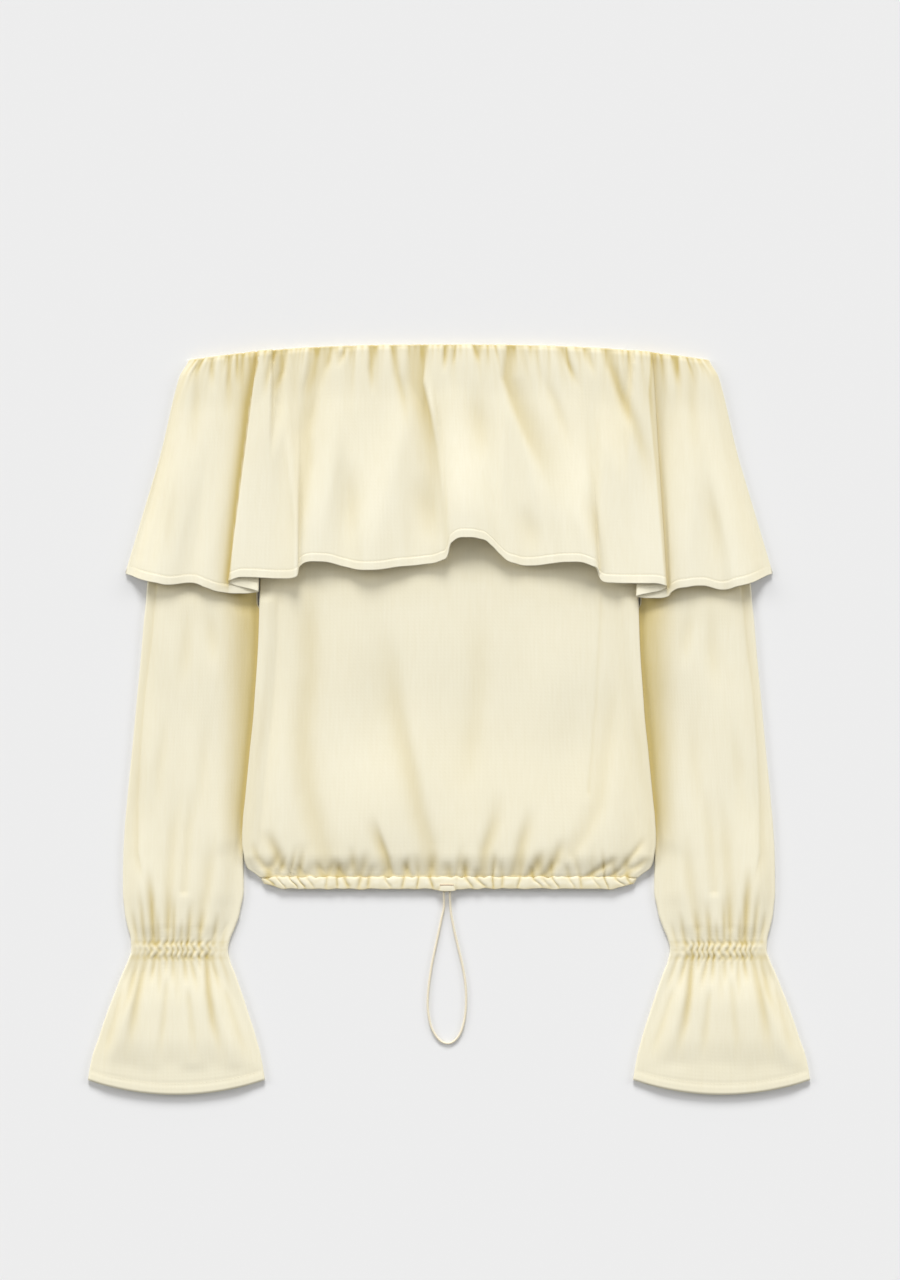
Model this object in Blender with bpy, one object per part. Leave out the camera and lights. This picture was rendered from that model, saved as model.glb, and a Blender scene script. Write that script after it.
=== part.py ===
"""Off-shoulder blouse laid flat, with a deep ruffle, shirred wrists and a drawcord hem.

All lengths are in metres. X runs to the right across the blouse, Y runs up towards the neckline, and Z runs up
from the surface that it lies on. The origin is on that surface, under the middle of the blouse.
"""
import math
from collections import namedtuple

import bpy
from mathutils import Vector

# Cloth and the air between its layers
WALL = 0.0012
CASING_WALL = 0.0016
TAB_WALL = 0.0010
SEAM_GAP = 0.0004
INNER_GAP = 0.0008
LEAST_GAP = 0.0006
LAYER = WALL + SEAM_GAP

# Neckline, a low arc over body and sleeves
NECK_TOP = 0.3185
NECK_DROP = 0.0132
NECK_BEND = 2.7
NECK_HALF = 0.2205
NECK_INSET = 0.0015
ARMHOLE_X = 0.1614

# The layers step down from the back ruffle between these heights, and the body's edges step up over the sleeves
STEP_TOP_Y = 0.118
STEP_FOOT_Y = 0.100
EDGE_DOWN_Y = -0.116
EDGE_LIFT = 2.0 * WALL + INNER_GAP + SEAM_GAP
LIFT_OUTER = 0.006
LIFT_INNER = 0.016

# Edges stay calm and flat for this far in, and the loft reaches its full height further in
CALM_OUTER = 0.002
CALM_INNER = 0.012
LOFT_OUTER = 0.004
LOFT_INNER = 0.040

# Gathers
GATHER_HEIGHT = 0.0007
NECK_GATHER_REACH = 0.30

# Hem casing
CASING_TOP_Y = -0.1350
PANEL_FOOT_Y = CASING_TOP_Y + SEAM_GAP
TAB_X = -0.0015
TAB_HALF_TOP = 0.0057
TAB_HALF_FOOT = 0.0071
TAB_TOP_Y = -0.1402
TAB_FOOT_Y = -0.1450
TAB_SAG = 0.0006
TAB_CALM = 0.013
TAB_BULGE = 0.0020
TAB_BULGE_WIDTH = 0.010

# Drawcord
CORD_DIAMETER = 0.0020
CORD_SPACING = 0.0050
CORD_STEPS = 24

# Cells across each sheet
FRONT_MID_CELLS = 30
SLEEVE_LOW_CELLS = 5
SLEEVE_TOP_CELLS = 12
CASING_LOW_CELLS = 10
CASING_TOP_CELLS = 72
LONGEST_HEM_CELL = 0.014
REST_ALONG = 0.004

BodyEdge = namedtuple("BodyEdge", "y half_width")
BODY_EDGES = (
    BodyEdge(0.3200, 0.1614),
    BodyEdge(0.1180, 0.1604),
    BodyEdge(0.1000, 0.1608),
    BodyEdge(0.0166, 0.1650),
    BodyEdge(-0.0260, 0.1690),
    BodyEdge(-0.0690, 0.1732),
    BodyEdge(-0.0880, 0.1750),
    BodyEdge(-0.1020, 0.1755),
    BodyEdge(-0.1135, 0.1742),
    BodyEdge(-0.1245, 0.1718),
    BodyEdge(-0.1300, 0.1655),
    BodyEdge(-0.1346, 0.1598),
)

Loft = namedtuple("Loft", "y air")
FRONT_LOFTS = (
    Loft(0.3200, 0.0004),
    Loft(0.2500, 0.0012),
    Loft(0.1180, 0.0014),
    Loft(0.0600, 0.0020),
    Loft(-0.0200, 0.0024),
    Loft(-0.0800, 0.0030),
    Loft(-0.1100, 0.0028),
    Loft(-0.1346, 0.0010),
)

# Soft troughs in the front of the body, from the upper end to the lower end
Fold = namedtuple("Fold", "start_x start_y end_x end_y width height")
FRONT_FOLDS = (
    Fold(-0.0485, -0.0060, -0.0230, -0.1240, 0.0090, -0.0022),
    Fold(-0.1143, -0.0290, -0.1006, -0.1290, 0.0100, -0.0020),
    Fold(-0.0620, -0.0800, -0.0578, -0.1150, 0.0080, -0.0018),
    Fold(0.0220, -0.0260, 0.0060, -0.1240, 0.0100, -0.0017),
    Fold(0.0379, -0.0700, 0.0264, -0.1150, 0.0080, -0.0020),
    Fold(0.0672, -0.0780, 0.0587, -0.1240, 0.0080, -0.0020),
    Fold(0.0876, -0.1000, 0.0808, -0.1290, 0.0060, -0.0016),
    Fold(0.1289, -0.0630, 0.1017, -0.1050, 0.0150, -0.0018),
    Fold(-0.1488, -0.0680, -0.1400, -0.1240, 0.0080, -0.0016),
    Fold(-0.1207, 0.0980, -0.1210, 0.0100, 0.0120, -0.0011),
    Fold(-0.0646, 0.0980, -0.0600, 0.0300, 0.0140, -0.0011),
    Fold(0.0220, 0.1000, 0.0260, 0.0300, 0.0120, -0.0010),
    Fold(0.1284, 0.1100, 0.1275, 0.0640, 0.0060, -0.0011),
)

# Rings down a sleeve: height at the ring's ends, its inner and outer ends, the air inside and how far it sags
SleeveRing = namedtuple("SleeveRing", "y inner outer air sag")
SLEEVE_RINGS = (
    SleeveRing(0.3080, 0.1622, 0.2188, 0.0004, 0.0000),
    SleeveRing(0.2500, 0.1622, 0.2295, 0.0012, 0.0000),
    SleeveRing(0.1800, 0.1622, 0.2435, 0.0014, 0.0000),
    SleeveRing(0.1180, 0.1622, 0.2560, 0.0014, 0.0000),
    SleeveRing(0.1000, 0.1622, 0.2575, 0.0018, 0.0000),
    SleeveRing(0.0860, 0.1566, 0.2590, 0.0020, 0.0000),
    SleeveRing(0.0560, 0.1580, 0.2615, 0.0024, 0.0000),
    SleeveRing(0.0170, 0.1600, 0.2652, 0.0026, 0.0000),
    SleeveRing(-0.0290, 0.1643, 0.2695, 0.0028, 0.0000),
    SleeveRing(-0.0700, 0.1683, 0.2735, 0.0028, 0.0000),
    SleeveRing(-0.1000, 0.1703, 0.2759, 0.0028, 0.0000),
    SleeveRing(-0.1180, 0.1746, 0.2767, 0.0026, 0.0000),
    SleeveRing(-0.1400, 0.1744, 0.2770, 0.0024, 0.0000),
    SleeveRing(-0.1600, 0.1770, 0.2758, 0.0018, 0.0000),
    SleeveRing(-0.1760, 0.1816, 0.2730, 0.0013, 0.0000),
    SleeveRing(-0.1890, 0.1866, 0.2702, 0.0010, 0.0000),
    SleeveRing(-0.1955, 0.1876, 0.2700, 0.0009, 0.0000),
    SleeveRing(-0.2020, 0.1866, 0.2718, 0.0010, 0.0002),
    SleeveRing(-0.2150, 0.1820, 0.2772, 0.0014, 0.0008),
    SleeveRing(-0.2300, 0.1768, 0.2832, 0.0020, 0.0018),
    SleeveRing(-0.2500, 0.1702, 0.2908, 0.0024, 0.0040),
    SleeveRing(-0.2720, 0.1634, 0.2982, 0.0022, 0.0070),
    SleeveRing(-0.2900, 0.1590, 0.3040, 0.0018, 0.0100),
    SleeveRing(-0.3060, 0.1564, 0.3068, 0.0014, 0.0125),
)
SLEEVE_INNER_SLOPE = (0.006, 0.026)
SLEEVE_OUTER_SLOPE = (0.001, 0.018)
SLEEVE_CALM = (0.001, 0.009)
SLEEVE_FLAT_RINGS = 4
FLAT_PARTING = 90.0
UNDERARM_PARTING = 35.0
SLEEVE_FIRST_FINE = 13
SLEEVE_LAST_FINE = 19
SLEEVE_NECK_RINGS = 2
CUFF_CENTRE_Y = -0.1955
CUFF_GATHER_UP = 0.045
CUFF_GATHER_DOWN = 0.050

# Soft ridges and troughs down a sleeve: place across it, -1 at the inner end and 1 at the outer end
SleeveFold = namedtuple("SleeveFold", "across start_y end_y width height")
SLEEVE_FOLDS = (
    SleeveFold(-0.42, 0.0800, -0.1300, 0.16, -0.0013),
    SleeveFold(0.12, 0.0400, -0.1800, 0.18, -0.0015),
    SleeveFold(0.62, 0.0900, -0.1500, 0.14, -0.0016),
    SleeveFold(0.78, -0.2020, -0.2800, 0.12, -0.0013),
    SleeveFold(0.54, -0.2020, -0.2950, 0.14, -0.0016),
    SleeveFold(0.02, -0.2020, -0.2450, 0.14, -0.0012),
    SleeveFold(-0.50, -0.2020, -0.3040, 0.16, -0.0016),
)

# Waves of the front ruffle from left to right: each one's place at the hem, how far it stands up, its place in
# the gathered neckline, how far down the ruffle it has its full height, and how far aside it rests on what is under
WAVE_REACH = 0.008
FOLD_REACH = 0.016
Wave = namedtuple("Wave", "hem_x hem_y lift neck_x rise reach", defaults=(WAVE_REACH,))
LEFT_WAVES = (
    Wave(-0.2744, 0.1237, 0.0000, -0.2206, 1.00),
    Wave(-0.2728, 0.1233, 0.0000, -0.2194, 1.00),
    Wave(-0.2600, 0.1186, 0.0008, -0.2125, 0.60),
    Wave(-0.2480, 0.1160, 0.0036, -0.2065, 0.80),
    Wave(-0.2370, 0.1143, 0.0030, -0.2005, 0.80),
    Wave(-0.2200, 0.1160, 0.0010, -0.1935, 0.60),
    Wave(-0.2060, 0.1120, 0.0032, -0.1865, 0.90),
    Wave(-0.1920, 0.1080, 0.0014, -0.1790, 0.60),
    Wave(-0.1780, 0.1070, 0.0008, -0.1700, 0.40),
)
MIDDLE_WAVES = (
    Wave(-0.1709, 0.1207, 0.0048, -0.1510, 0.00, FOLD_REACH),
    Wave(-0.1580, 0.1202, 0.0046, -0.1440, 0.50),
    Wave(-0.1430, 0.1196, 0.0034, -0.1370, 0.40),
    Wave(-0.1292, 0.1211, 0.0078, -0.1285, 0.80),
    Wave(-0.1268, 0.1290, 0.0044, -0.1235, 0.80),
    Wave(-0.1105, 0.1339, 0.0056, -0.1120, 0.90),
    Wave(-0.0884, 0.1296, 0.0022, -0.0900, 0.50),
    Wave(-0.0697, 0.1267, 0.0052, -0.0740, 0.90),
    Wave(-0.0425, 0.1296, 0.0036, -0.0500, 0.60),
    Wave(-0.0204, 0.1318, 0.0008, -0.0260, 0.30),
    Wave(-0.0056, 0.1352, 0.0040, -0.0180, 0.40),
    Wave(-0.0012, 0.1392, 0.0058, -0.0135, 0.80),
    Wave(0.0002, 0.1450, 0.0072, -0.0090, 0.90),
    Wave(0.0030, 0.1506, 0.0082, -0.0045, 0.90),
    Wave(0.0153, 0.1543, 0.0088, 0.0035, 0.90),
    Wave(0.0264, 0.1530, 0.0082, 0.0110, 0.90),
    Wave(0.0360, 0.1475, 0.0068, 0.0180, 0.90),
    Wave(0.0434, 0.1400, 0.0048, 0.0250, 0.90),
    Wave(0.0557, 0.1325, 0.0030, 0.0345, 0.60),
    Wave(0.0689, 0.1305, 0.0012, 0.0470, 0.35),
    Wave(0.0860, 0.1322, 0.0044, 0.0640, 0.80),
    Wave(0.1020, 0.1335, 0.0058, 0.0820, 0.80),
    Wave(0.1216, 0.1299, 0.0082, 0.1030, 0.90),
    Wave(0.1262, 0.1255, 0.0056, 0.1120, 0.90),
    Wave(0.1274, 0.1205, 0.0036, 0.1180, 0.90),
    Wave(0.1377, 0.1160, 0.0034, 0.1280, 0.50),
    Wave(0.1530, 0.1156, 0.0044, 0.1440, 0.60),
    Wave(0.1680, 0.1155, 0.0053, 0.1585, 0.00, FOLD_REACH),
)
RIGHT_WAVES = (
    Wave(0.1726, 0.1031, 0.0008, 0.1765, 0.40),
    Wave(0.1858, 0.1045, 0.0014, 0.1808, 0.60),
    Wave(0.1880, 0.1078, 0.0030, 0.1850, 0.80),
    Wave(0.2010, 0.1122, 0.0042, 0.1895, 0.90),
    Wave(0.2150, 0.1135, 0.0028, 0.1945, 0.70),
    Wave(0.2312, 0.1101, 0.0010, 0.2010, 0.60),
    Wave(0.2440, 0.1130, 0.0036, 0.2070, 0.80),
    Wave(0.2560, 0.1160, 0.0026, 0.2130, 0.80),
    Wave(0.2728, 0.1233, 0.0000, 0.2194, 1.00),
    Wave(0.2744, 0.1237, 0.0000, 0.2206, 1.00),
)

# Fold that doubles back at each side, a pleat from the neckline down
LEFT_FOLD = (
    Wave(-0.1630, 0.1081, 0.0004, -0.1564, 0.00, FOLD_REACH),
    Wave(-0.1619, 0.1086, 0.0014, -0.1554, 0.00, FOLD_REACH),
    Wave(-0.1630, 0.1092, 0.0024, -0.1564, 0.00, FOLD_REACH),
    Wave(-0.1745, 0.1122, 0.0025, -0.1584, 0.00, FOLD_REACH),
    Wave(-0.1853, 0.1158, 0.0026, -0.1604, 0.00, FOLD_REACH),
    Wave(-0.1864, 0.1169, 0.0036, -0.1614, 0.00, FOLD_REACH),
    Wave(-0.1853, 0.1180, 0.0046, -0.1604, 0.00, FOLD_REACH),
)
RIGHT_FOLD = (
    Wave(0.1828, 0.1137, 0.0052, 0.1706, 0.00, FOLD_REACH),
    Wave(0.1840, 0.1123, 0.0039, 0.1716, 0.00, FOLD_REACH),
    Wave(0.1828, 0.1111, 0.0026, 0.1706, 0.00, FOLD_REACH),
    Wave(0.1710, 0.1076, 0.0025, 0.1684, 0.00, FOLD_REACH),
    Wave(0.1601, 0.1052, 0.0024, 0.1664, 0.00, FOLD_REACH),
    Wave(0.1590, 0.1046, 0.0014, 0.1654, 0.00, FOLD_REACH),
    Wave(0.1601, 0.1040, 0.0004, 0.1664, 0.00, FOLD_REACH),
)
SIDE_FULLNESS = 0.0038
SIDE_START_X = 0.190
SIDE_FULL_AT = 0.08
SIDE_FULL_END = 0.50
RUFFLE_FINE_ROWS = (0.0, 0.06)
RUFFLE_ROWS = (0.18, 0.35, 0.50, 0.66, 0.83, 1.0)

# Back ruffle's hem, hidden just inside the front one
BACK_RUFFLE_ROWS = (0.0, 0.3, 0.65, 1.0)
BACK_RUFFLE_CELLS = 16
BACK_HEM_Y = 0.1225
BACK_HEM_WAVE = 0.0022
BACK_HEM_WAVES = 5

# Heights of the rows across the body
FRONT_TOP_ROWS = (0.2500, 0.1800)
FRONT_ROWS = (STEP_TOP_Y, STEP_FOOT_Y, 0.0720, 0.0430, 0.0130, -0.0170, -0.0460, -0.0730, -0.0980)
FRONT_FINE_ROWS = (EDGE_DOWN_Y, -0.1260, PANEL_FOOT_Y)
BACK_ROWS = (0.2500, STEP_TOP_Y, STEP_FOOT_Y, 0.0300, -0.0400, -0.0980, EDGE_DOWN_Y, -0.1260, PANEL_FOOT_Y)
BACK_MID_CELLS = 4
HEM_GATHER_START_Y = -0.1000
HEM_GATHER_FULL_Y = -0.1260

CASING_HALF_TOP = 0.1598
CASING_HALF_FOOT = 0.1572
CASING_FOOT_Y = -0.1437
CASING_CORNER_RISE = 0.0048
CASING_CORNER_START_X = 0.138
CASING_CORNER_END_X = 0.160
CASING_PARTS = (0.0, 0.35, 0.70, 1.0)
CASING_AIR = 0.0010
CASING_LOFT = (0.002, 0.020)
CASING_CALM = (0.002, 0.010)

# Route of the drawcord, from the casing's edge down, round its loop and back up
CordPoint = namedtuple("CordPoint", "x y z")
CORD_ROUTE = (
    CordPoint(-0.0046, -0.1463, 0.0040),
    CordPoint(-0.0044, -0.1500, 0.0031),
    CordPoint(-0.0043, -0.1555, 0.0017),
    CordPoint(-0.0046, -0.1610, 0.0011),
    CordPoint(-0.0064, -0.1690, 0.0011),
    CordPoint(-0.0097, -0.1850, 0.0011),
    CordPoint(-0.0134, -0.2020, 0.0011),
    CordPoint(-0.0160, -0.2168, 0.0011),
    CordPoint(-0.0178, -0.2330, 0.0011),
    CordPoint(-0.0180, -0.2450, 0.0011),
    CordPoint(-0.0161, -0.2575, 0.0011),
    CordPoint(-0.0128, -0.2660, 0.0011),
    CordPoint(-0.0075, -0.2728, 0.0011),
    CordPoint(-0.0010, -0.2752, 0.0011),
    CordPoint(0.0048, -0.2728, 0.0011),
    CordPoint(0.0098, -0.2660, 0.0011),
    CordPoint(0.0131, -0.2550, 0.0011),
    CordPoint(0.0145, -0.2418, 0.0011),
    CordPoint(0.0142, -0.2270, 0.0011),
    CordPoint(0.0119, -0.2111, 0.0011),
    CordPoint(0.0079, -0.1940, 0.0011),
    CordPoint(0.0045, -0.1792, 0.0011),
    CordPoint(0.0018, -0.1650, 0.0011),
    CordPoint(0.0011, -0.1570, 0.0016),
    CordPoint(0.0008, -0.1505, 0.0030),
    CordPoint(0.0007, -0.1463, 0.0040),
)


def clear_scene():
    """Removes whatever objects the scene already holds."""
    for existing in list(bpy.data.objects):
        bpy.data.objects.remove(existing, do_unlink=True)


def ramp(value, start, end):
    """Runs straight from 0 at start to 1 at end, and stays level outside."""
    return min(1.0, max(0.0, (value - start) / (end - start)))


def ease(value, start, end):
    """Runs from 0 at start to 1 at end, level at both."""
    part = ramp(value, start, end)
    return part * part * (3.0 - 2.0 * part)


def blend(first, second, part):
    """Mixes two values or points, all first at part 0 and all second at part 1."""
    return first * (1.0 - part) + second * part


def smooth_slopes(keys, values):
    """Slopes at the rows of a table that keep a curve through them from overshooting."""
    steps = [(values[i + 1] - values[i]) / (keys[i + 1] - keys[i]) for i in range(len(keys) - 1)]
    slopes = [steps[0]]
    for before, after in zip(steps, steps[1:]):
        same_way = before * after > 0.0
        slopes.append(2.0 * before * after / (before + after) if same_way else 0.0)
    slopes.append(steps[-1])
    return slopes


def read_table(rows, column, y):
    """Reads a column of a table whose rows go down in y, on a smooth line through its rows."""
    keys = [-row.y for row in rows]
    values = [getattr(row, column) for row in rows]
    place = min(max(-y, keys[0]), keys[-1])
    slopes = smooth_slopes(keys, values)
    upper = 1
    while keys[upper] < place and upper < len(keys) - 1:
        upper += 1
    lower = upper - 1
    span = keys[upper] - keys[lower]
    part = (place - keys[lower]) / span
    start = values[lower] + slopes[lower] * span * part
    end = values[upper] - slopes[upper] * span * (1.0 - part)
    return blend(start, end, part * part * (3.0 - 2.0 * part))


def neckline(x):
    """Height of the neckline's arc."""
    return NECK_TOP - NECK_DROP * abs(x / NECK_HALF) ** NECK_BEND


def under_step(y):
    """How far the layers are raised by the back ruffle under them."""
    return LAYER * ramp(y, STEP_FOOT_Y, STEP_TOP_Y)


def body_half_width(y):
    """Half width of the body panels."""
    return read_table(BODY_EDGES, "half_width", y)


def edge_lift(x, y):
    """How far the body's side edges rise over the inner edges of the sleeves."""
    inset = body_half_width(y) - abs(x)
    down_sides = 1.0 - ramp(inset, LIFT_OUTER, LIFT_INNER)
    along = ramp(y, PANEL_FOOT_Y, EDGE_DOWN_Y) * (1.0 - ramp(y, STEP_FOOT_Y, STEP_TOP_Y))
    return EDGE_LIFT * down_sides * along


def fold_height(folds, x, y):
    """Height of the soft folds, each fading at its ends and to its sides."""
    total = 0.0
    for fold in folds:
        run = Vector((fold.end_x - fold.start_x, fold.end_y - fold.start_y))
        place = Vector((x - fold.start_x, y - fold.start_y))
        along = place.dot(run) / run.length_squared
        aside = (run.x * place.y - run.y * place.x) / run.length
        taper = ease(along, -0.15, 0.25) * (1.0 - ease(along, 0.85, 1.15))
        total += fold.height * taper * math.exp(-(aside / fold.width) ** 2)
    return total


def front_air(x, y):
    """Air between the back panel and the front panel."""
    inset = body_half_width(y) - abs(x)
    loft = read_table(FRONT_LOFTS, "air", y) * ease(inset, LOFT_OUTER, LOFT_INNER)
    return max(LEAST_GAP, INNER_GAP + loft + fold_height(FRONT_FOLDS, x, y))


def back_panel_height(x, y):
    """Middle of the back panel's wall."""
    return under_step(y) + edge_lift(x, y) + WALL / 2.0


def front_panel_height(x, y):
    """Middle of the front panel's wall, without its gathers."""
    return back_panel_height(x, y) + WALL + front_air(x, y)


def sleeve_fold_height(across, y):
    """Height of a sleeve's folds at a place across it, -1 at the inner end and 1 at the outer end."""
    total = 0.0
    for fold in SLEEVE_FOLDS:
        along = (fold.start_y - y) / (fold.start_y - fold.end_y)
        taper = ease(along, -0.10, 0.20) * (1.0 - ease(along, 0.70, 1.10))
        total += fold.height * taper * math.exp(-((across - fold.across) / fold.width) ** 2)
    return total


def sleeve_top_height(x, y, inner, outer, air):
    """Middle of a sleeve's upper wall, without its gathers."""
    across = (2.0 * x - inner - outer) / (outer - inner)
    shape = ease(x - inner, *SLEEVE_INNER_SLOPE) * ease(outer - x, *SLEEVE_OUTER_SLOPE)
    raised = (air + sleeve_fold_height(across, y)) * shape
    return under_step(y) + WALL + max(LEAST_GAP, INNER_GAP + raised) + WALL / 2.0


def stack_top(x, y):
    """Top of what lies under the front ruffle."""
    outer = read_table(SLEEVE_RINGS, "outer", y)
    if abs(x) <= ARMHOLE_X:
        return front_panel_height(x, y) + WALL / 2.0
    if abs(x) <= outer:
        inner = read_table(SLEEVE_RINGS, "inner", y)
        air = read_table(SLEEVE_RINGS, "air", y)
        return sleeve_top_height(abs(x), y, inner, outer, air) + WALL / 2.0
    return WALL


def resting_height(x, y, reach):
    """Middle of the front ruffle's wall where it just rests on the highest layer near a point."""
    highest = 0.0
    for aside in (-1.0, -0.5, 0.0, 0.5, 1.0):
        for along in (-REST_ALONG, 0.0, REST_ALONG):
            highest = max(highest, stack_top(x + aside * reach, y + along))
    return highest + SEAM_GAP + WALL / 2.0


def principled(name, colour, roughness):
    """A plain cloth or cord material."""
    material = bpy.data.materials.new(name)
    material.use_nodes = True
    shader = material.node_tree.nodes["Principled BSDF"]
    shader.inputs["Base Color"].default_value = (*colour, 1.0)
    shader.inputs["Roughness"].default_value = roughness
    shader.inputs["Metallic"].default_value = 0.0
    return material


def row_indices(spans, points):
    """Adds a row's points and gives each span's indices, closing the row where its ends meet."""
    first = len(points)
    indexed = []
    for span in spans:
        start = [indexed[-1][-1]] if indexed else []
        fresh = span[1:] if indexed else span
        numbers = list(range(len(points), len(points) + len(fresh)))
        points.extend(fresh)
        indexed.append(start + numbers)
    if (points[-1] - points[first]).length < SEAM_GAP / 100.0:
        points.pop()
        indexed[-1][-1] = first
    return indexed


def link_spans(above, below):
    """Triangles between two spans, where one has as many cells as the other or twice as many."""
    upper = len(above) - 1
    lower = len(below) - 1
    faces = []
    if upper == lower:
        for i in range(upper):
            faces.append((above[i], above[i + 1], below[i + 1]))
            faces.append((above[i], below[i + 1], below[i]))
    elif lower == 2 * upper:
        for i in range(upper):
            faces.append((above[i], below[2 * i + 1], below[2 * i]))
            faces.append((above[i], above[i + 1], below[2 * i + 1]))
            faces.append((above[i + 1], below[2 * i + 2], below[2 * i + 1]))
    else:
        for i in range(lower):
            faces.append((above[2 * i], above[2 * i + 1], below[i]))
            faces.append((above[2 * i + 1], below[i + 1], below[i]))
            faces.append((above[2 * i + 1], above[2 * i + 2], below[i + 1]))
    return faces


def cloth_sheet(name, rows, wall, material):
    """Makes a sheet through rows of points, and gives it the thickness of a wall."""
    points = []
    indexed = [row_indices(spans, points) for spans in rows]
    faces = []
    for above, below in zip(indexed, indexed[1:]):
        for upper_span, lower_span in zip(above, below):
            faces.extend(link_spans(upper_span, lower_span))
    mesh = bpy.data.meshes.new(name)
    mesh.from_pydata(points, [], faces)
    mesh.validate()
    mesh.materials.append(material)
    mesh.shade_smooth()
    sheet = bpy.data.objects.new(name, mesh)
    bpy.context.scene.collection.objects.link(sheet)
    thickness = sheet.modifiers.new("Wall", "SOLIDIFY")
    thickness.thickness = wall
    thickness.offset = 0.0
    thickness.use_even_offset = False
    return sheet


def body_columns(half_width, mid_cells, fine):
    """Places across a body panel, with columns at the feet of its raised side edges."""
    insets = (0.0, LIFT_OUTER, (LIFT_OUTER + LIFT_INNER) / 2.0, LIFT_INNER)
    right = [half_width - inset for inset in insets]
    reach = right[-1]
    middle = [reach * (2.0 * i / mid_cells - 1.0) for i in range(1, mid_cells)]
    columns = [-x for x in right] + middle + right[::-1]
    if not fine:
        return columns
    halves = []
    for start, end in zip(columns, columns[1:]):
        halves += [start, (start + end) / 2.0]
    return halves + [columns[-1]]


def panel_row(y, columns, height):
    """One row of a body panel, curved with the neckline near the top."""
    curve = ramp(y, STEP_TOP_Y, NECK_TOP - NECK_INSET)
    row = []
    for number, x in enumerate(columns):
        place_y = y + curve * (neckline(x) - NECK_TOP)
        row.append(Vector((x, place_y, height(x, place_y, number))))
    return [row]


def make_front_panel(material):
    """Front of the body, with soft troughs and the gathers above its casing."""
    top = NECK_TOP - NECK_INSET

    def plain(x, y, number):
        return front_panel_height(x, y)

    def gathered(x, y, number):
        amount = GATHER_HEIGHT * ease(y, HEM_GATHER_START_Y, HEM_GATHER_FULL_Y)
        sides = ease(body_half_width(y) - abs(x), CALM_OUTER, CALM_INNER)
        crest = 1.0 if number % 2 else -1.0
        return front_panel_height(x, y) + amount * sides * crest

    rows = []
    for y in (top,) + FRONT_TOP_ROWS:
        columns = body_columns(body_half_width(y), FRONT_MID_CELLS, False)
        rows.append(panel_row(y, columns[::2], plain))
    for y in FRONT_ROWS:
        columns = body_columns(body_half_width(y), FRONT_MID_CELLS, False)
        rows.append(panel_row(y, columns, plain))
    for y in FRONT_FINE_ROWS:
        columns = body_columns(body_half_width(y), FRONT_MID_CELLS, True)
        rows.append(panel_row(y, columns, gathered))
    return cloth_sheet("front_panel", rows, WALL, material)


def make_back_panel(material):
    """Back of the body, flat where it rests."""
    rows = []
    for y in (NECK_TOP - NECK_INSET,) + BACK_ROWS:
        columns = body_columns(body_half_width(y), BACK_MID_CELLS, False)
        rows.append(panel_row(y, columns, lambda x, place_y, number: back_panel_height(x, place_y)))
    return cloth_sheet("back_panel", rows, WALL, material)


def flat_ring(left, right, base, wall, air, place_y, top_height, low_cells, top_cells, parting):
    """Ring of a flattened tube: along its lower wall, round the right end, back along the top to the left end."""
    radius = (wall + air) / 2.0
    low_z = base + wall / 2.0
    reach = radius + wall / 2.0
    inner_x = left + reach
    outer_x = right - reach

    def at(x, z):
        return Vector((x, place_y(x), z))

    def on_arc(centre_x, degrees):
        turn = math.radians(degrees)
        return at(centre_x + radius * math.cos(turn), low_z + radius + radius * math.sin(turn))

    top_ends = (outer_x, inner_x)
    if parting == FLAT_PARTING:
        start = [at(left, low_z), at((left + inner_x) / 2.0, low_z), at(inner_x, low_z)]
        finish = [at(x, top_height(x, 0)) for x in (inner_x, (left + inner_x) / 2.0, left)]
    else:
        start = [on_arc(inner_x, 180.0 + parting), on_arc(inner_x, 225.0 + parting / 2.0), at(inner_x, low_z)]
        finish = [at(inner_x, low_z + 2.0 * radius), on_arc(inner_x, 135.0 - parting / 2.0),
                  on_arc(inner_x, 180.0 - parting)]
    low = [at(blend(inner_x, outer_x, i / low_cells), low_z) for i in range(1, low_cells + 1)]
    outer_end = [on_arc(outer_x, degrees) for degrees in (315.0, 0.0, 45.0)]
    top = [at(outer_x, low_z + 2.0 * radius)]
    for i in range(1, top_cells):
        x = blend(*top_ends, i / top_cells)
        top.append(at(x, top_height(x, i)))
    top.append(finish[0])
    return [start + low + outer_end + [top[0]], top, finish]


def sleeve_rows():
    """Rings of the right sleeve, from the neckline to the cuff's hem."""
    rows = []
    for number, ring in enumerate(SLEEVE_RINGS):
        fine = SLEEVE_FIRST_FINE <= number <= SLEEVE_LAST_FINE
        middle_x = (ring.inner + ring.outer) / 2.0
        half = (ring.outer - ring.inner) / 2.0
        neck_curve = max(0.0, 1.0 - number / SLEEVE_NECK_RINGS)
        reach = CUFF_GATHER_UP if ring.y > CUFF_CENTRE_Y else CUFF_GATHER_DOWN
        amount = GATHER_HEIGHT * (1.0 - ease(abs(ring.y - CUFF_CENTRE_Y), reach / 4.0, reach))
        base = under_step(ring.y)

        def place_y(x, ring=ring, middle_x=middle_x, half=half, neck_curve=neck_curve):
            sag = ring.sag * (1.0 - ((x - middle_x) / half) ** 2)
            return ring.y - sag + neck_curve * (neckline(x) - neckline(middle_x))

        def top_height(x, cell, ring=ring, fine=fine, amount=amount):
            smooth = sleeve_top_height(x, ring.y, ring.inner, ring.outer, ring.air)
            crest = (1.0 if cell % 2 else -1.0) if fine else 0.0
            sides = ease(min(x - ring.inner, ring.outer - x), *SLEEVE_CALM)
            return smooth + amount * sides * crest

        top_cells = SLEEVE_TOP_CELLS * (2 if fine else 1)
        parting = FLAT_PARTING if number < SLEEVE_FLAT_RINGS else 0.0
        if number == SLEEVE_FLAT_RINGS:
            parting = UNDERARM_PARTING
        rows.append(flat_ring(ring.inner, ring.outer, base, WALL, INNER_GAP, place_y, top_height,
                              SLEEVE_LOW_CELLS, top_cells, parting))
    return rows


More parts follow.
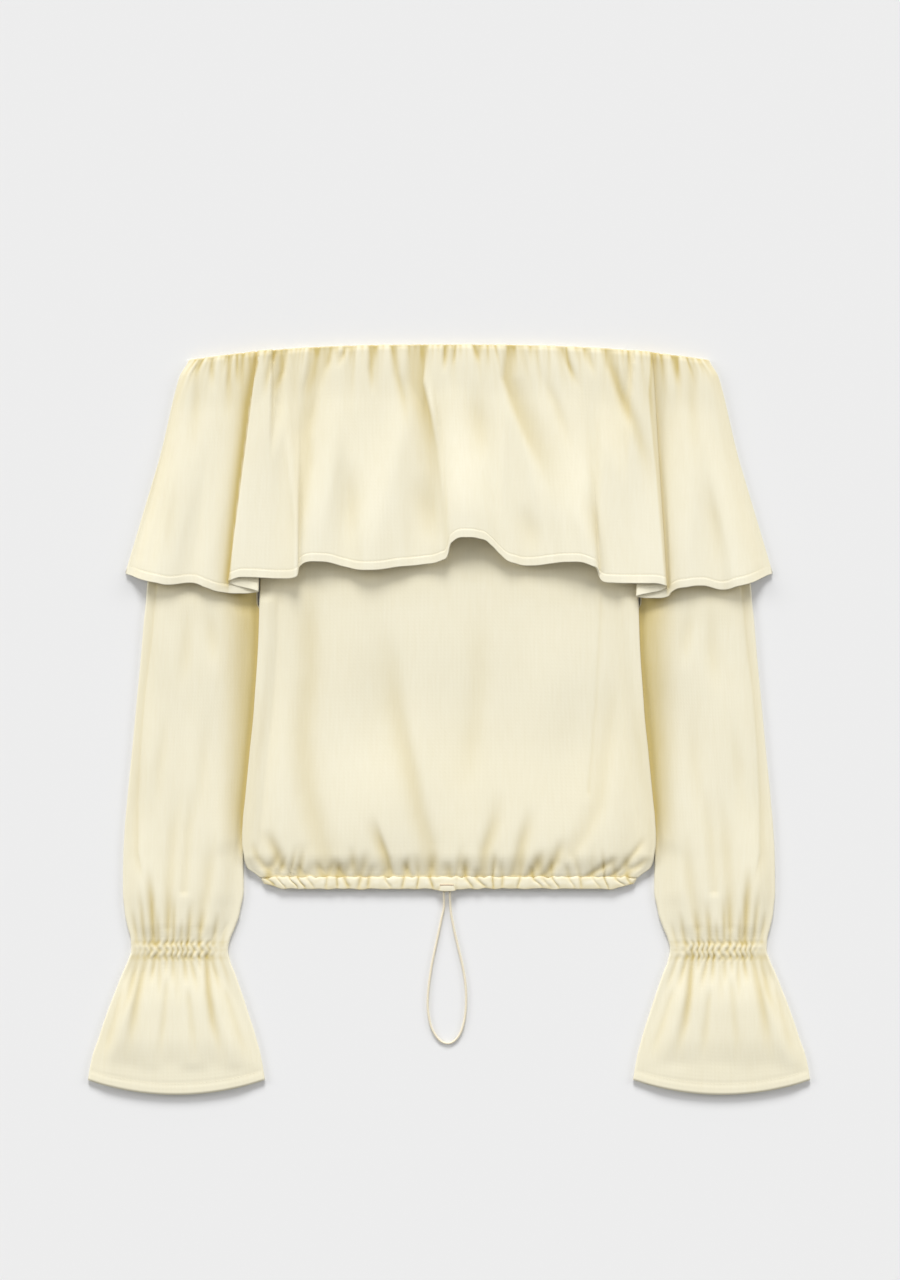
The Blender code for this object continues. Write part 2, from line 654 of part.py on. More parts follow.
def make_sleeves(material):
    """Both sleeves, the left one a mirrored copy of the right one."""
    right_rows = sleeve_rows()
    left_rows = []
    for spans in right_rows:
        left_rows.append([[Vector((-point.x, point.y, point.z)) for point in span] for span in spans])
    return [
        cloth_sheet("sleeve_right", right_rows, WALL, material),
        cloth_sheet("sleeve_left", left_rows, WALL, material),
    ]


def ruffle_stations():
    """All the waves, with more of them where two lie far apart at the hem."""
    waves = LEFT_WAVES + LEFT_FOLD + MIDDLE_WAVES + RIGHT_FOLD + RIGHT_WAVES
    stations = [waves[0]]
    last = len(waves) - 1
    for i in range(last):
        here = waves[i]
        after = waves[i + 1]
        distance = math.hypot(after.hem_x - here.hem_x, after.hem_y - here.hem_y)
        if distance > LONGEST_HEM_CELL:
            before = waves[max(0, i - 1)]
            beyond = waves[min(last, i + 2)]
            half_way = [(9.0 * (b + c) - a - d) / 16.0 for a, b, c, d in zip(before, here, after, beyond)]
            stations.append(Wave(*half_way))
        stations.append(after)
    return stations


def ruffle_place(neck_x, hem_x, hem_y, down):
    """Where a line down the ruffle runs, a little fuller at the sides just below the neckline."""
    full = SIDE_FULLNESS * ease(down, 0.0, SIDE_FULL_AT) * (1.0 - ease(down, SIDE_FULL_AT, SIDE_FULL_END))
    aside = math.copysign(full * ease(abs(neck_x), SIDE_START_X, NECK_HALF), neck_x)
    return blend(neck_x, hem_x, down) + aside, blend(neckline(neck_x), hem_y, down)


def ruffle_point(wave, down, side):
    """Point on the front ruffle, at a part of the way down one wave."""
    x, y = ruffle_place(wave.neck_x, wave.hem_x, wave.hem_y, down)
    if side:
        return Vector((x, y, LAYER + WALL / 2.0))
    risen = ease(down, 0.0, wave.rise) if wave.rise > 0.0 else 1.0
    return Vector((x, y, resting_height(x, y, wave.reach) + wave.lift * risen))


def make_ruffle_front(material):
    """Deep gathered ruffle over the front, with a doubled-back fold at each side."""
    stations = ruffle_stations()
    last = len(stations) - 1
    rows = []
    for down in RUFFLE_FINE_ROWS:
        amount = GATHER_HEIGHT * (1.0 - ease(down, 0.0, NECK_GATHER_REACH))
        crests = [ruffle_point(wave, down, i in (0, last)) for i, wave in enumerate(stations)]
        row = []
        for i, (here, after) in enumerate(zip(crests, crests[1:])):
            crest = 0.0 if i == 0 else 2.0 * amount
            pleated = min(stations[i].rise, stations[i + 1].rise) <= 0.0
            between = 2.0 * amount if pleated else 0.0
            if i in (0, last - 1):
                between = amount
            row.append(here + Vector((0.0, 0.0, crest)))
            row.append((here + after) / 2.0 + Vector((0.0, 0.0, between)))
        rows.append([row + [crests[-1]]])
    for down in RUFFLE_ROWS:
        amount = GATHER_HEIGHT * (1.0 - ease(down, 0.0, NECK_GATHER_REACH))
        row = [ruffle_point(wave, down, i in (0, last)) for i, wave in enumerate(stations)]
        raised = [point + Vector((0.0, 0.0, amount)) for point in row[1:-1]]
        rows.append([[row[0]] + raised + [row[-1]]])
    return cloth_sheet("ruffle_front", rows, WALL, material)


def make_ruffle_back(material):
    """The ruffle behind, flat on the surface."""
    side = RIGHT_WAVES[-1]
    edge = WALL / 2.0
    rows = []
    for down in BACK_RUFFLE_ROWS:
        row = []
        for i in range(BACK_RUFFLE_CELLS + 1):
            part = 2.0 * i / BACK_RUFFLE_CELLS - 1.0
            neck_x = part * (side.neck_x + edge)
            hem_x = part * (side.hem_x + edge)
            wave = BACK_HEM_WAVE * math.cos(part * math.pi * BACK_HEM_WAVES)
            hem_y = BACK_HEM_Y - wave
            row.append(Vector((*ruffle_place(neck_x, hem_x, hem_y, down), WALL / 2.0)))
        rows.append([row])
    return cloth_sheet("ruffle_back", rows, WALL, material)


def near_tab(x):
    """1 in the middle of the tab, fading to 0 on the casing beside it."""
    return math.exp(-((x - TAB_X) / TAB_BULGE_WIDTH) ** 2)


def casing_top_height(x, half_width):
    """Middle of the casing's upper wall, without its gathers."""
    loft = CASING_AIR * ease(half_width - abs(x), *CASING_LOFT)
    return CASING_WALL + INNER_GAP + loft + CASING_WALL / 2.0


def casing_foot(x):
    """Lower edge of the casing, rounded up at its ends and pulled down at the tab."""
    corner = CASING_CORNER_RISE * ease(abs(x), CASING_CORNER_START_X, CASING_CORNER_END_X)
    return CASING_FOOT_Y + corner - TAB_BULGE * near_tab(x)


def make_hem_casing(material):
    """Folded casing round the hem, gathered by its cord."""
    rows = []
    for down in CASING_PARTS:
        half_width = blend(CASING_HALF_TOP, CASING_HALF_FOOT, down)

        def place_y(x, down=down):
            return blend(CASING_TOP_Y, casing_foot(x), down)

        def top_height(x, cell, half_width=half_width):
            crest = 1.0 if cell % 2 else -1.0
            calm = ease(abs(x - TAB_X), TAB_CALM / 2.0, TAB_CALM)
            sides = ease(half_width - abs(x), *CASING_CALM)
            return casing_top_height(x, half_width) + GATHER_HEIGHT * crest * calm * sides

        rows.append(flat_ring(-half_width, half_width, 0.0, CASING_WALL, INNER_GAP, place_y, top_height,
                              CASING_LOW_CELLS, CASING_TOP_CELLS, 0.0))
    return cloth_sheet("hem_casing", rows, CASING_WALL, material)


def make_cord_tab(material):
    """Small stitched tab on the casing, which the cord comes out from under."""
    height = casing_top_height(TAB_X, CASING_HALF_TOP)
    z = height + CASING_WALL / 2.0 + SEAM_GAP + TAB_WALL / 2.0
    rows = []
    for down in (0.0, 0.5, 1.0):
        half = blend(TAB_HALF_TOP, TAB_HALF_FOOT, down)
        row = []
        for part in (-1.0, -0.5, 0.0, 0.5, 1.0):
            y = blend(TAB_TOP_Y, TAB_FOOT_Y, down) - TAB_SAG * down * (1.0 - part * part)
            row.append(Vector((TAB_X + part * half, y, z)))
        rows.append([row])
    return cloth_sheet("cord_tab", rows, TAB_WALL, material)


def smooth_route(route, spacing):
    """Points at an even spacing on a smooth curve through a route."""
    knots = [Vector(point) for point in route]
    fine = []
    for i in range(len(knots) - 1):
        before = knots[max(0, i - 1)]
        start = knots[i]
        end = knots[i + 1]
        beyond = knots[min(len(knots) - 1, i + 2)]
        for step in range(CORD_STEPS):
            t = step / CORD_STEPS
            fine.append(0.5 * (2.0 * start + (end - before) * t
                               + (2.0 * before - 5.0 * start + 4.0 * end - beyond) * t ** 2
                               + (3.0 * start - before - 3.0 * end + beyond) * t ** 3))
    fine.append(knots[-1])
    lengths = [0.0]
    for a, b in zip(fine, fine[1:]):
        lengths.append(lengths[-1] + (b - a).length)
    count = round(lengths[-1] / spacing)
    even = []
    index = 0
    for i in range(count + 1):
        target = lengths[-1] * i / count
        while index < len(fine) - 2 and lengths[index + 1] < target:
            index += 1
        part = (target - lengths[index]) / (lengths[index + 1] - lengths[index])
        even.append(blend(fine[index], fine[index + 1], part))
    return even


def make_drawcord(material):
    """Thin cord that comes out under the tab as one loop and lies on the surface."""
    points = smooth_route(CORD_ROUTE, CORD_SPACING)
    curve = bpy.data.curves.new("drawcord", "CURVE")
    curve.dimensions = "3D"
    spline = curve.splines.new("POLY")
    spline.points.add(len(points) - 1)
    for knot, point in zip(spline.points, points):
        knot.co = (*point, 1.0)
    curve.bevel_depth = CORD_DIAMETER / 2.0
    curve.bevel_resolution = 2
    curve.use_fill_caps = True
    curve.materials.append(material)
    cord = bpy.data.objects.new("drawcord", curve)
    bpy.context.scene.collection.objects.link(cord)
    return cord


def main():
    """Builds every piece of the blouse."""
    clear_scene()
    cloth = principled("cream_cloth", (0.86, 0.82, 0.68), 0.62)
    hidden_cloth = principled("cream_cloth_back", (0.82, 0.77, 0.62), 0.66)
    cord = principled("cream_cord", (0.80, 0.72, 0.56), 0.70)
    make_ruffle_back(hidden_cloth)
    make_back_panel(hidden_cloth)
    make_sleeves(cloth)
    make_front_panel(cloth)
    make_hem_casing(cloth)
    make_cord_tab(cloth)
    make_ruffle_front(cloth)
    make_drawcord(cord)


main()
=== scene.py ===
"""Dresses an off-shoulder blouse laid flat: its cloth, gathers, folds, stitching and drawcord.

All lengths are in metres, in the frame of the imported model: X to the right, Y up towards the neckline and Z up
from the surface that the blouse lies on.
"""
from __future__ import annotations

import logging
import math
from dataclasses import dataclass
from enum import Enum
from typing import NamedTuple

import bpy
import numpy as np
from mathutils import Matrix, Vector

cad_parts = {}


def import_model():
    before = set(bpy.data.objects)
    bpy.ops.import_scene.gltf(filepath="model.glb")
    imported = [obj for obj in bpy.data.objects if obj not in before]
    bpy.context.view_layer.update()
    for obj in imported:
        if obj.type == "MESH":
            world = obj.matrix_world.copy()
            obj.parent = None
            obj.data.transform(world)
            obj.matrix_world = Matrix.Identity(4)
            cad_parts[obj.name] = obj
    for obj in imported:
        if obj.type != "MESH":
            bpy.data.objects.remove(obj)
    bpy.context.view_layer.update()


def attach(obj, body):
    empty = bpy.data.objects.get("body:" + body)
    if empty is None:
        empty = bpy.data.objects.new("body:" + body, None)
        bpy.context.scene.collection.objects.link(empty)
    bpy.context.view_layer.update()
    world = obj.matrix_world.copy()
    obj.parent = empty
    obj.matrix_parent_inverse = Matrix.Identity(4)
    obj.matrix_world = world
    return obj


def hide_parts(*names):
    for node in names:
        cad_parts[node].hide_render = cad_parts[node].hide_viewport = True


LOG = logging.getLogger("blouse")
Array = np.ndarray

# Cloth and the air between its layers
WALL = 0.0012
CASING_WALL = 0.0016
SEAM_GAP = 0.0004
INNER_GAP = 0.0008
LEAST_GAP = 0.0006
LAYER = WALL + SEAM_GAP

# Neckline and the steps between the layers
NECK_TOP = 0.3185
NECK_DROP = 0.0132
NECK_BEND = 2.7
NECK_HALF = 0.2205
NECK_INSET = 0.0015
ARMHOLE_X = 0.1614
STEP_TOP_Y = 0.118
STEP_FOOT_Y = 0.100
EDGE_DOWN_Y = -0.116
EDGE_LIFT = 2.0 * WALL + INNER_GAP + SEAM_GAP
LIFT_OUTER = 0.006
LIFT_INNER = 0.016

# Sides of both ruffles swell by this much below the neckline
SIDE_FULLNESS = 0.0038
SIDE_START_X = 0.190

# Slope that replaces the short step in the cloth on top
SLOPE_FOOT_Y = -0.030

# Hem
CASING_TOP_Y = -0.1350
PANEL_FOOT_Y = CASING_TOP_Y + SEAM_GAP
CASING_HALF_TOP = 0.1598
CASING_HALF_FOOT = 0.1572
CASING_FOOT_Y = -0.1437
TAB_X = -0.0015

# Colour that lost light brings, and the most of it on the front, each sleeve, the casing and the ruffle
LOST_LIGHT_GAIN = 0.65
MOST_LOST_LIGHT = (0.22, 0.30, 0.30, 0.22, 0.24)

# Creases are placed on a plan whose unit is this long, measured from the plan's own corner
PLAN_UNIT = 0.00085
PLAN_X = 449.0
PLAN_Y = 719.5


class Side(Enum):
    """Side of the blouse as it is looked at."""

    LEFT = -1.0
    RIGHT = 1.0


class TableRow(NamedTuple):
    """A height and the value that a table gives there."""

    y: float
    value: float


class SleeveRing(NamedTuple):
    """A ring round the flattened sleeve."""

    y: float
    inner: float
    outer: float
    air: float
    sag: float


class Wave(NamedTuple):
    """A line down the front ruffle: its place at the hem, how far it stands up and its place at the neck."""

    hem_x: float
    hem_y: float
    lift: float
    neck_x: float
    rise: float


class Crease(NamedTuple):
    """A soft trough along a path on the plan, with the shade painted in it, its widths to both sides and its depth in
    millimetres.

    Its width grows along the path, hold is where it starts to fade out and rise is how long it fades in.
    """

    path: tuple[tuple[float, float], ...]
    shade: float
    left: float
    right: float
    depth: float = 1.0
    grow: float = 1.0
    hold: float = 0.3
    rise: float = 0.0


BODY_EDGES = (
    TableRow(0.3200, 0.1614), TableRow(0.1180, 0.1604), TableRow(0.1000, 0.1608), TableRow(0.0166, 0.1650),
    TableRow(-0.0260, 0.1690), TableRow(-0.0690, 0.1732), TableRow(-0.0880, 0.1750), TableRow(-0.1020, 0.1755),
    TableRow(-0.1135, 0.1742), TableRow(-0.1245, 0.1718), TableRow(-0.1300, 0.1655), TableRow(-0.1346, 0.1598),
)
FRONT_LOFTS = (
    TableRow(0.3200, 0.0004), TableRow(0.2500, 0.0012), TableRow(0.1180, 0.0014), TableRow(0.0600, 0.0020),
    TableRow(-0.0200, 0.0024), TableRow(-0.0800, 0.0030), TableRow(-0.1100, 0.0028), TableRow(-0.1346, 0.0010),
)
SLEEVE_RINGS = (
    SleeveRing(0.3080, 0.1622, 0.2188, 0.0004, 0.0000),
    SleeveRing(0.2500, 0.1622, 0.2295, 0.0012, 0.0000),
    SleeveRing(0.1800, 0.1622, 0.2435, 0.0014, 0.0000),
    SleeveRing(0.1180, 0.1622, 0.2560, 0.0014, 0.0000),
    SleeveRing(0.1000, 0.1622, 0.2575, 0.0018, 0.0000),
    SleeveRing(0.0860, 0.1566, 0.2590, 0.0020, 0.0000),
    SleeveRing(0.0560, 0.1580, 0.2615, 0.0024, 0.0000),
    SleeveRing(0.0170, 0.1600, 0.2652, 0.0026, 0.0000),
    SleeveRing(-0.0290, 0.1643, 0.2695, 0.0028, 0.0000),
    SleeveRing(-0.0700, 0.1683, 0.2735, 0.0028, 0.0000),
    SleeveRing(-0.1000, 0.1703, 0.2759, 0.0028, 0.0000),
    SleeveRing(-0.1180, 0.1746, 0.2767, 0.0026, 0.0000),
    SleeveRing(-0.1400, 0.1744, 0.2770, 0.0024, 0.0000),
    SleeveRing(-0.1600, 0.1770, 0.2758, 0.0018, 0.0000),
    SleeveRing(-0.1760, 0.1816, 0.2730, 0.0013, 0.0000),
    SleeveRing(-0.1890, 0.1866, 0.2702, 0.0010, 0.0000),
    SleeveRing(-0.1955, 0.1876, 0.2700, 0.0009, 0.0000),
    SleeveRing(-0.2020, 0.1866, 0.2718, 0.0010, 0.0002),
    SleeveRing(-0.2150, 0.1820, 0.2772, 0.0014, 0.0008),
    SleeveRing(-0.2300, 0.1768, 0.2832, 0.0020, 0.0018),
    SleeveRing(-0.2500, 0.1702, 0.2908, 0.0024, 0.0040),
    SleeveRing(-0.2720, 0.1634, 0.2982, 0.0022, 0.0070),
    SleeveRing(-0.2900, 0.1590, 0.3040, 0.0018, 0.0100),
    SleeveRing(-0.3060, 0.1564, 0.3068, 0.0014, 0.0125),
)
LEFT_WAVES = (
    Wave(-0.2744, 0.1237, 0.0000, -0.2206, 1.00), Wave(-0.2728, 0.1233, 0.0000, -0.2194, 1.00),
    Wave(-0.2600, 0.1186, 0.0008, -0.2125, 0.60), Wave(-0.2480, 0.1160, 0.0036, -0.2065, 0.80),
    Wave(-0.2370, 0.1143, 0.0030, -0.2005, 0.80), Wave(-0.2200, 0.1160, 0.0010, -0.1935, 0.60),
    Wave(-0.2060, 0.1120, 0.0032, -0.1865, 0.90), Wave(-0.1920, 0.1080, 0.0014, -0.1790, 0.60),
    Wave(-0.1780, 0.1070, 0.0008, -0.1700, 0.40),
)
LEFT_FOLD = (
    Wave(-0.1630, 0.1081, 0.0004, -0.1564, 0.00), Wave(-0.1619, 0.1086, 0.0014, -0.1554, 0.00),
    Wave(-0.1630, 0.1092, 0.0024, -0.1564, 0.00), Wave(-0.1745, 0.1122, 0.0025, -0.1584, 0.00),
    Wave(-0.1853, 0.1158, 0.0026, -0.1604, 0.00), Wave(-0.1864, 0.1169, 0.0036, -0.1614, 0.00),
    Wave(-0.1853, 0.1180, 0.0046, -0.1604, 0.00),
)
MIDDLE_WAVES = (
    Wave(-0.1709, 0.1207, 0.0048, -0.1510, 0.00), Wave(-0.1580, 0.1202, 0.0046, -0.1440, 0.50),
    Wave(-0.1430, 0.1196, 0.0034, -0.1370, 0.40), Wave(-0.1292, 0.1211, 0.0078, -0.1285, 0.80),
    Wave(-0.1268, 0.1290, 0.0044, -0.1235, 0.80), Wave(-0.1105, 0.1339, 0.0056, -0.1120, 0.90),
    Wave(-0.0884, 0.1296, 0.0022, -0.0900, 0.50), Wave(-0.0697, 0.1267, 0.0052, -0.0740, 0.90),
    Wave(-0.0425, 0.1296, 0.0036, -0.0500, 0.60), Wave(-0.0204, 0.1318, 0.0008, -0.0260, 0.30),
    Wave(-0.0056, 0.1352, 0.0040, -0.0180, 0.40), Wave(-0.0012, 0.1392, 0.0058, -0.0135, 0.80),
    Wave(0.0002, 0.1450, 0.0072, -0.0090, 0.90), Wave(0.0030, 0.1506, 0.0082, -0.0045, 0.90),
    Wave(0.0153, 0.1543, 0.0088, 0.0035, 0.90), Wave(0.0264, 0.1530, 0.0082, 0.0110, 0.90),
    Wave(0.0360, 0.1475, 0.0068, 0.0180, 0.90), Wave(0.0434, 0.1400, 0.0048, 0.0250, 0.90),
    Wave(0.0557, 0.1325, 0.0030, 0.0345, 0.60), Wave(0.0689, 0.1305, 0.0012, 0.0470, 0.35),
    Wave(0.0860, 0.1322, 0.0044, 0.0640, 0.80), Wave(0.1020, 0.1335, 0.0058, 0.0820, 0.80),
    Wave(0.1216, 0.1299, 0.0082, 0.1030, 0.90), Wave(0.1262, 0.1255, 0.0056, 0.1120, 0.90),
    Wave(0.1274, 0.1205, 0.0036, 0.1180, 0.90), Wave(0.1377, 0.1160, 0.0034, 0.1280, 0.50),
    Wave(0.1530, 0.1156, 0.0044, 0.1440, 0.60), Wave(0.1680, 0.1155, 0.0053, 0.1585, 0.00),
)
RIGHT_FOLD = (
    Wave(0.1828, 0.1137, 0.0052, 0.1706, 0.00), Wave(0.1840, 0.1123, 0.0039, 0.1716, 0.00),
    Wave(0.1828, 0.1111, 0.0026, 0.1706, 0.00), Wave(0.1710, 0.1076, 0.0025, 0.1684, 0.00),
    Wave(0.1601, 0.1052, 0.0024, 0.1664, 0.00), Wave(0.1590, 0.1046, 0.0014, 0.1654, 0.00),
    Wave(0.1601, 0.1040, 0.0004, 0.1664, 0.00),
)
RIGHT_WAVES = (
    Wave(0.1726, 0.1031, 0.0008, 0.1765, 0.40), Wave(0.1858, 0.1045, 0.0014, 0.1808, 0.60),
    Wave(0.1880, 0.1078, 0.0030, 0.1850, 0.80), Wave(0.2010, 0.1122, 0.0042, 0.1895, 0.90),
    Wave(0.2150, 0.1135, 0.0028, 0.1945, 0.70), Wave(0.2312, 0.1101, 0.0010, 0.2010, 0.60),
    Wave(0.2440, 0.1130, 0.0036, 0.2070, 0.80), Wave(0.2560, 0.1160, 0.0026, 0.2130, 0.80),
    Wave(0.2728, 0.1233, 0.0000, 0.2194, 1.00), Wave(0.2744, 0.1237, 0.0000, 0.2206, 1.00),
)

# Edges of the two folds of the front ruffle
LEFT_FOLD_PATH = ((258.6, 362), (249.6, 404), (245.8, 435), (239.4, 486), (234.3, 532), (230.5, 581))
RIGHT_FOLD_PATH = ((650.9, 356), (648.3, 396), (652, 435), (656, 473), (661, 537), (664.9, 585))

# Creases of the front ruffle, from the neckline down, with the shade painted in them; the first four have no depth
# and only paint the shadow that each fold throws beside its edge
RUFFLE_CREASES = (
    Crease(LEFT_FOLD_PATH, 0.34, 13.0, 0.7, 0.0, 0.8, 1.0),
    Crease(LEFT_FOLD_PATH, 0.40, 5.5, 0.7, 0.0, 1.0, 1.0),
    Crease(RIGHT_FOLD_PATH, 0.26, 0.7, 10.0, 0.0, 1.1, 1.0),
    Crease(RIGHT_FOLD_PATH, 0.12, 0.7, 4.0, 0.0, 1.3, 1.0),
    Crease(((425, 346), (424, 361), (421.8, 383), (430.6, 419), (436, 449), (440, 485), (445, 524), (448, 546)), 0.46,
           11.0, 1.6, 2.6, 1.5, 0.25),
    Crease(((508, 345), (505.5, 379), (514, 405), (527, 436), (543, 467), (556, 498), (565, 529)), 0.42, 2.4, 7.5,
           1.9, 2.6, 0.15),
    Crease(((472, 378), (479, 423), (484, 470)), 0.20, 8.0, 8.0, 1.4, 1.1, 0.5, 0.5),
    Crease(((607, 349), (610, 366), (618, 388), (633, 423), (646, 463), (655, 511)), 0.44, 3.2, 3.6, 1.8, 1.9, 0.2),
    Crease(((652, 362), (650, 392), (655, 440)), 0.12, 5.0, 1.0, 0.4, 1.0, 0.3),
    Crease(((563, 350), (567, 362), (572, 373), (581, 394)), 0.42, 2.4, 2.2, 1.4, 1.2),
    Crease(((536, 362), (556, 405), (572, 458)), 0.13, 3.5, 4.0, 0.8, 1.2, 0.5, 0.5),
    Crease(((326, 350), (325, 361), (314, 392), (307, 436), (308, 463), (301, 520), (298, 562)), 0.22, 8.0, 5.0, 1.6,
           1.2, 0.7),
    Crease(((276, 352), (272, 361), (267, 384), (263, 408)), 0.30, 3.0, 2.4, 1.2, 1.2),
    Crease(((286, 350), (283, 372), (272, 400)), 0.38, 2.6, 2.2, 1.4, 1.2),
    Crease(((318, 348), (314, 375), (304, 405)), 0.38, 4.0, 2.6, 1.6, 1.4),
    Crease(((332, 347), (326, 374)), 0.32, 2.2, 2.0, 1.2),
    Crease(((347, 347), (337, 370)), 0.32, 2.4, 2.0, 1.2),
    Crease(((372, 346), (371, 370), (373, 398)), 0.46, 2.6, 2.4, 1.8),
    Crease(((395, 347), (397.5, 375), (404, 401), (409, 438)), 0.32, 3.0, 2.4, 1.4, 1.3),
    Crease(((446, 346), (444, 376)), 0.42, 2.4, 2.2, 1.4),
    Crease(((456, 347), (452, 370)), 0.25, 1.8, 1.8, 0.8),
    Crease(((474, 345), (479, 366)), 0.38, 2.2, 2.2, 1.2),
    Crease(((587, 350), (594, 378)), 0.28, 2.4, 2.4, 1.2),
    Crease(((199, 362), (197, 401), (192, 470)), 0.18, 4.0, 3.6, 1.0, 1.3),
    Crease(((212, 360), (215, 396)), 0.22, 2.6, 2.6, 1.0),
    Crease(((229, 356), (230, 392), (228, 430)), 0.30, 3.0, 3.0, 1.2, 1.2),
    Crease(((164, 432), (146, 524)), 0.10, 2.0, 2.0, 0.4, 1.0, 0.5, 0.5),
    Crease(((238, 354), (240, 392)), 0.26, 3.0, 3.0, 1.0),
    Crease(((675, 357), (676, 390)), 0.30, 2.8, 2.8, 1.2),
    Crease(((688, 358), (692, 410), (697, 478)), 0.16, 4.0, 4.0, 0.9, 1.3),
    Crease(((726, 410), (743, 467), (755, 524)), 0.10, 1.8, 1.8, 0.4, 1.0, 0.5, 0.5),
    Crease(((353, 455), (354, 500), (350, 550)), 0.12, 9.0, 9.0, 1.2, 1.0, 0.5, 0.5),
    Crease(((586, 480), (592, 520), (596, 560)), 0.16, 7.0, 4.0, 1.2, 1.0, 0.5, 0.5),
    Crease(((520, 500), (530, 530), (536, 560)), 0.12, 8.0, 8.0, 1.0, 1.0, 0.5, 0.5),
    Crease(((420, 470), (428, 510), (432, 550)), 0.14, 10.0, 8.0, 1.4, 1.0, 0.5, 0.5),
    Crease(((178, 470), (170, 530), (164, 575)), 0.12, 6.0, 6.0, 0.9, 1.0, 0.5, 0.5),
    Crease(((706, 470), (716, 530), (722, 575)), 0.12, 6.0, 6.0, 0.9, 1.0, 0.5, 0.5),
)
# Places of the gathers along the neckline
NECK_GATHERS = (
    196, 205, 213, 223, 229, 238, 245, 256, 266, 274, 282, 291, 301, 310, 319, 331, 338, 350, 356, 370, 377, 391,
    400, 409, 422, 432, 444, 452, 460, 474, 479, 487, 495, 508, 515, 522, 530, 537, 548, 557, 565, 574, 583, 596,
    606, 617, 628, 641, 650, 661, 671, 678, 687, 697, 703,
)

# Creases of the body's front, which run up from the gathered hem
BODY_CREASES = (
    Crease(((309.7, 560), (309.7, 618), (309.7, 676), (304, 734), (308.3, 792), (319.9, 838), (329, 872)), 0.20, 11.0,
           9.0, 1.2, 1.0, 0.75),
    Crease(((375, 589), (379, 618), (392, 661), (397, 705), (404, 740), (413, 777), (421, 815), (430, 844),
            (433, 872)), 0.25, 10.0, 6.0, 1.4, 1.2, 0.35),
    Crease(((372, 812), (379.4, 835), (388, 858), (392, 875)), 0.40, 6.0, 2.0, 2.2, 1.2, 0.4),
    Crease(((264, 826), (276, 850), (283, 866)), 0.30, 4.5, 4.0, 1.6, 1.2, 0.4),
    Crease(((476, 575), (479, 676), (471, 748), (465, 806)), 0.12, 10.0, 10.0, 0.9, 1.0, 0.5, 0.3),
    Crease(((499, 784), (494, 821), (485, 850), (482, 875)), 0.30, 4.5, 5.5, 1.5, 1.3, 0.3),
    Crease(((532, 800), (526, 827), (520, 850), (513, 875)), 0.26, 4.0, 5.0, 1.6, 1.3, 0.4),
    Crease(((563, 834), (555, 861), (544, 877)), 0.36, 3.4, 3.8, 1.8, 1.2, 0.4),
    Crease(((546, 846), (535, 867), (528, 878)), 0.34, 4.0, 5.0, 1.8, 1.2, 0.4),
    Crease(((610, 660), (608.5, 734), (604, 763), (598, 806), (584, 835), (571, 853)), 0.13, 9.0, 6.0, 0.9, 1.2, 0.6),
    Crease(((622, 855), (601, 867), (588, 876)), 0.30, 2.6, 3.0, 1.4, 1.2, 0.4),
    Crease(((648, 832), (636, 850), (619, 870), (609, 878)), 0.20, 2.2, 2.2, 1.0, 1.2, 0.6),
    Crease(((655, 853), (636, 867), (623, 877)), 0.24, 2.4, 2.6, 1.2, 1.2, 0.5),
    Crease(((251, 838), (258, 858), (272, 877)), 0.26, 2.6, 3.0, 1.2, 1.2, 0.5),
    Crease(((600, 586), (600, 618), (595, 705), (588, 792)), 0.09, 1.2, 2.0, 0.3, 1.0, 0.9),
    Crease(((350, 842), (356, 875)), 0.28, 3.0, 3.0, 1.4, 1.3),
    Crease(((337, 856), (342, 877)), 0.30, 3.0, 2.4, 1.4, 1.3),
    Crease(((404, 856), (410, 877)), 0.28, 3.0, 2.4, 1.3, 1.3),
    Crease(((447, 858), (450, 877)), 0.30, 4.0, 3.0, 1.4, 1.3),
    Crease(((466, 850), (463, 876)), 0.24, 3.0, 3.0, 1.2, 1.3),
    Crease(((316, 858), (323, 877)), 0.30, 3.0, 2.4, 1.4, 1.3),
    Crease(((296, 862), (304, 877)), 0.26, 2.8, 2.4, 1.2, 1.3),
)

# Places of the gathers that the cord draws into the hem
HEM_GATHERS = (
    267, 277, 289.5, 298, 307, 327, 337, 344.5, 360.5, 369, 385, 404, 418.5, 430, 456, 466, 476.5, 492.5, 502.5, 520,
    533, 542, 552, 569, 580, 592.5, 604, 615, 627,
)

# Creases of the left sleeve above the shirred wrist, down its cuff and along it; the right sleeve mirrors them
ABOVE_WRIST = (
    Crease(((132, 905), (137, 942)), 0.26, 2.0, 2.0, 1.0, 1.2),
    Crease(((139, 880), (142, 910), (145, 943)), 0.32, 2.0, 2.2, 1.2, 1.3),
    Crease(((149, 862), (152, 900), (154, 943)), 0.50, 2.6, 2.4, 1.9, 1.5, 0.4),
    Crease(((158, 905), (159, 943)), 0.28, 1.8, 1.8, 1.0, 1.2),
    Crease(((170, 880), (168, 943)), 0.26, 2.0, 2.0, 1.1, 1.5),
    Crease(((175, 890), (174, 943)), 0.30, 1.8, 1.8, 1.1, 1.3),
    Crease(((183, 915), (181, 943)), 0.22, 1.8, 1.8, 0.8, 1.2),
    Crease(((192, 895), (188, 943)), 0.34, 2.0, 2.2, 1.3, 1.5),
    Crease(((204, 905), (199, 943)), 0.30, 2.0, 2.2, 1.2, 1.4),
    Crease(((219, 908), (213, 944)), 0.26, 1.8, 2.0, 1.0, 1.3),
    Crease(((228, 918), (222, 945)), 0.18, 1.6, 1.6, 0.7, 1.2),
    Crease(((180.4, 782), (173.6, 831), (169.6, 886), (168, 926)), 0.13, 4.5, 4.5, 1.0, 1.3, 0.5),
    Crease(((197, 777), (188.6, 831), (184.5, 890)), 0.10, 4.0, 4.0, 0.8, 1.2, 0.5),
    Crease(((216, 825), (207.6, 886), (200, 926)), 0.14, 5.0, 4.5, 1.0, 1.3, 0.5),
)
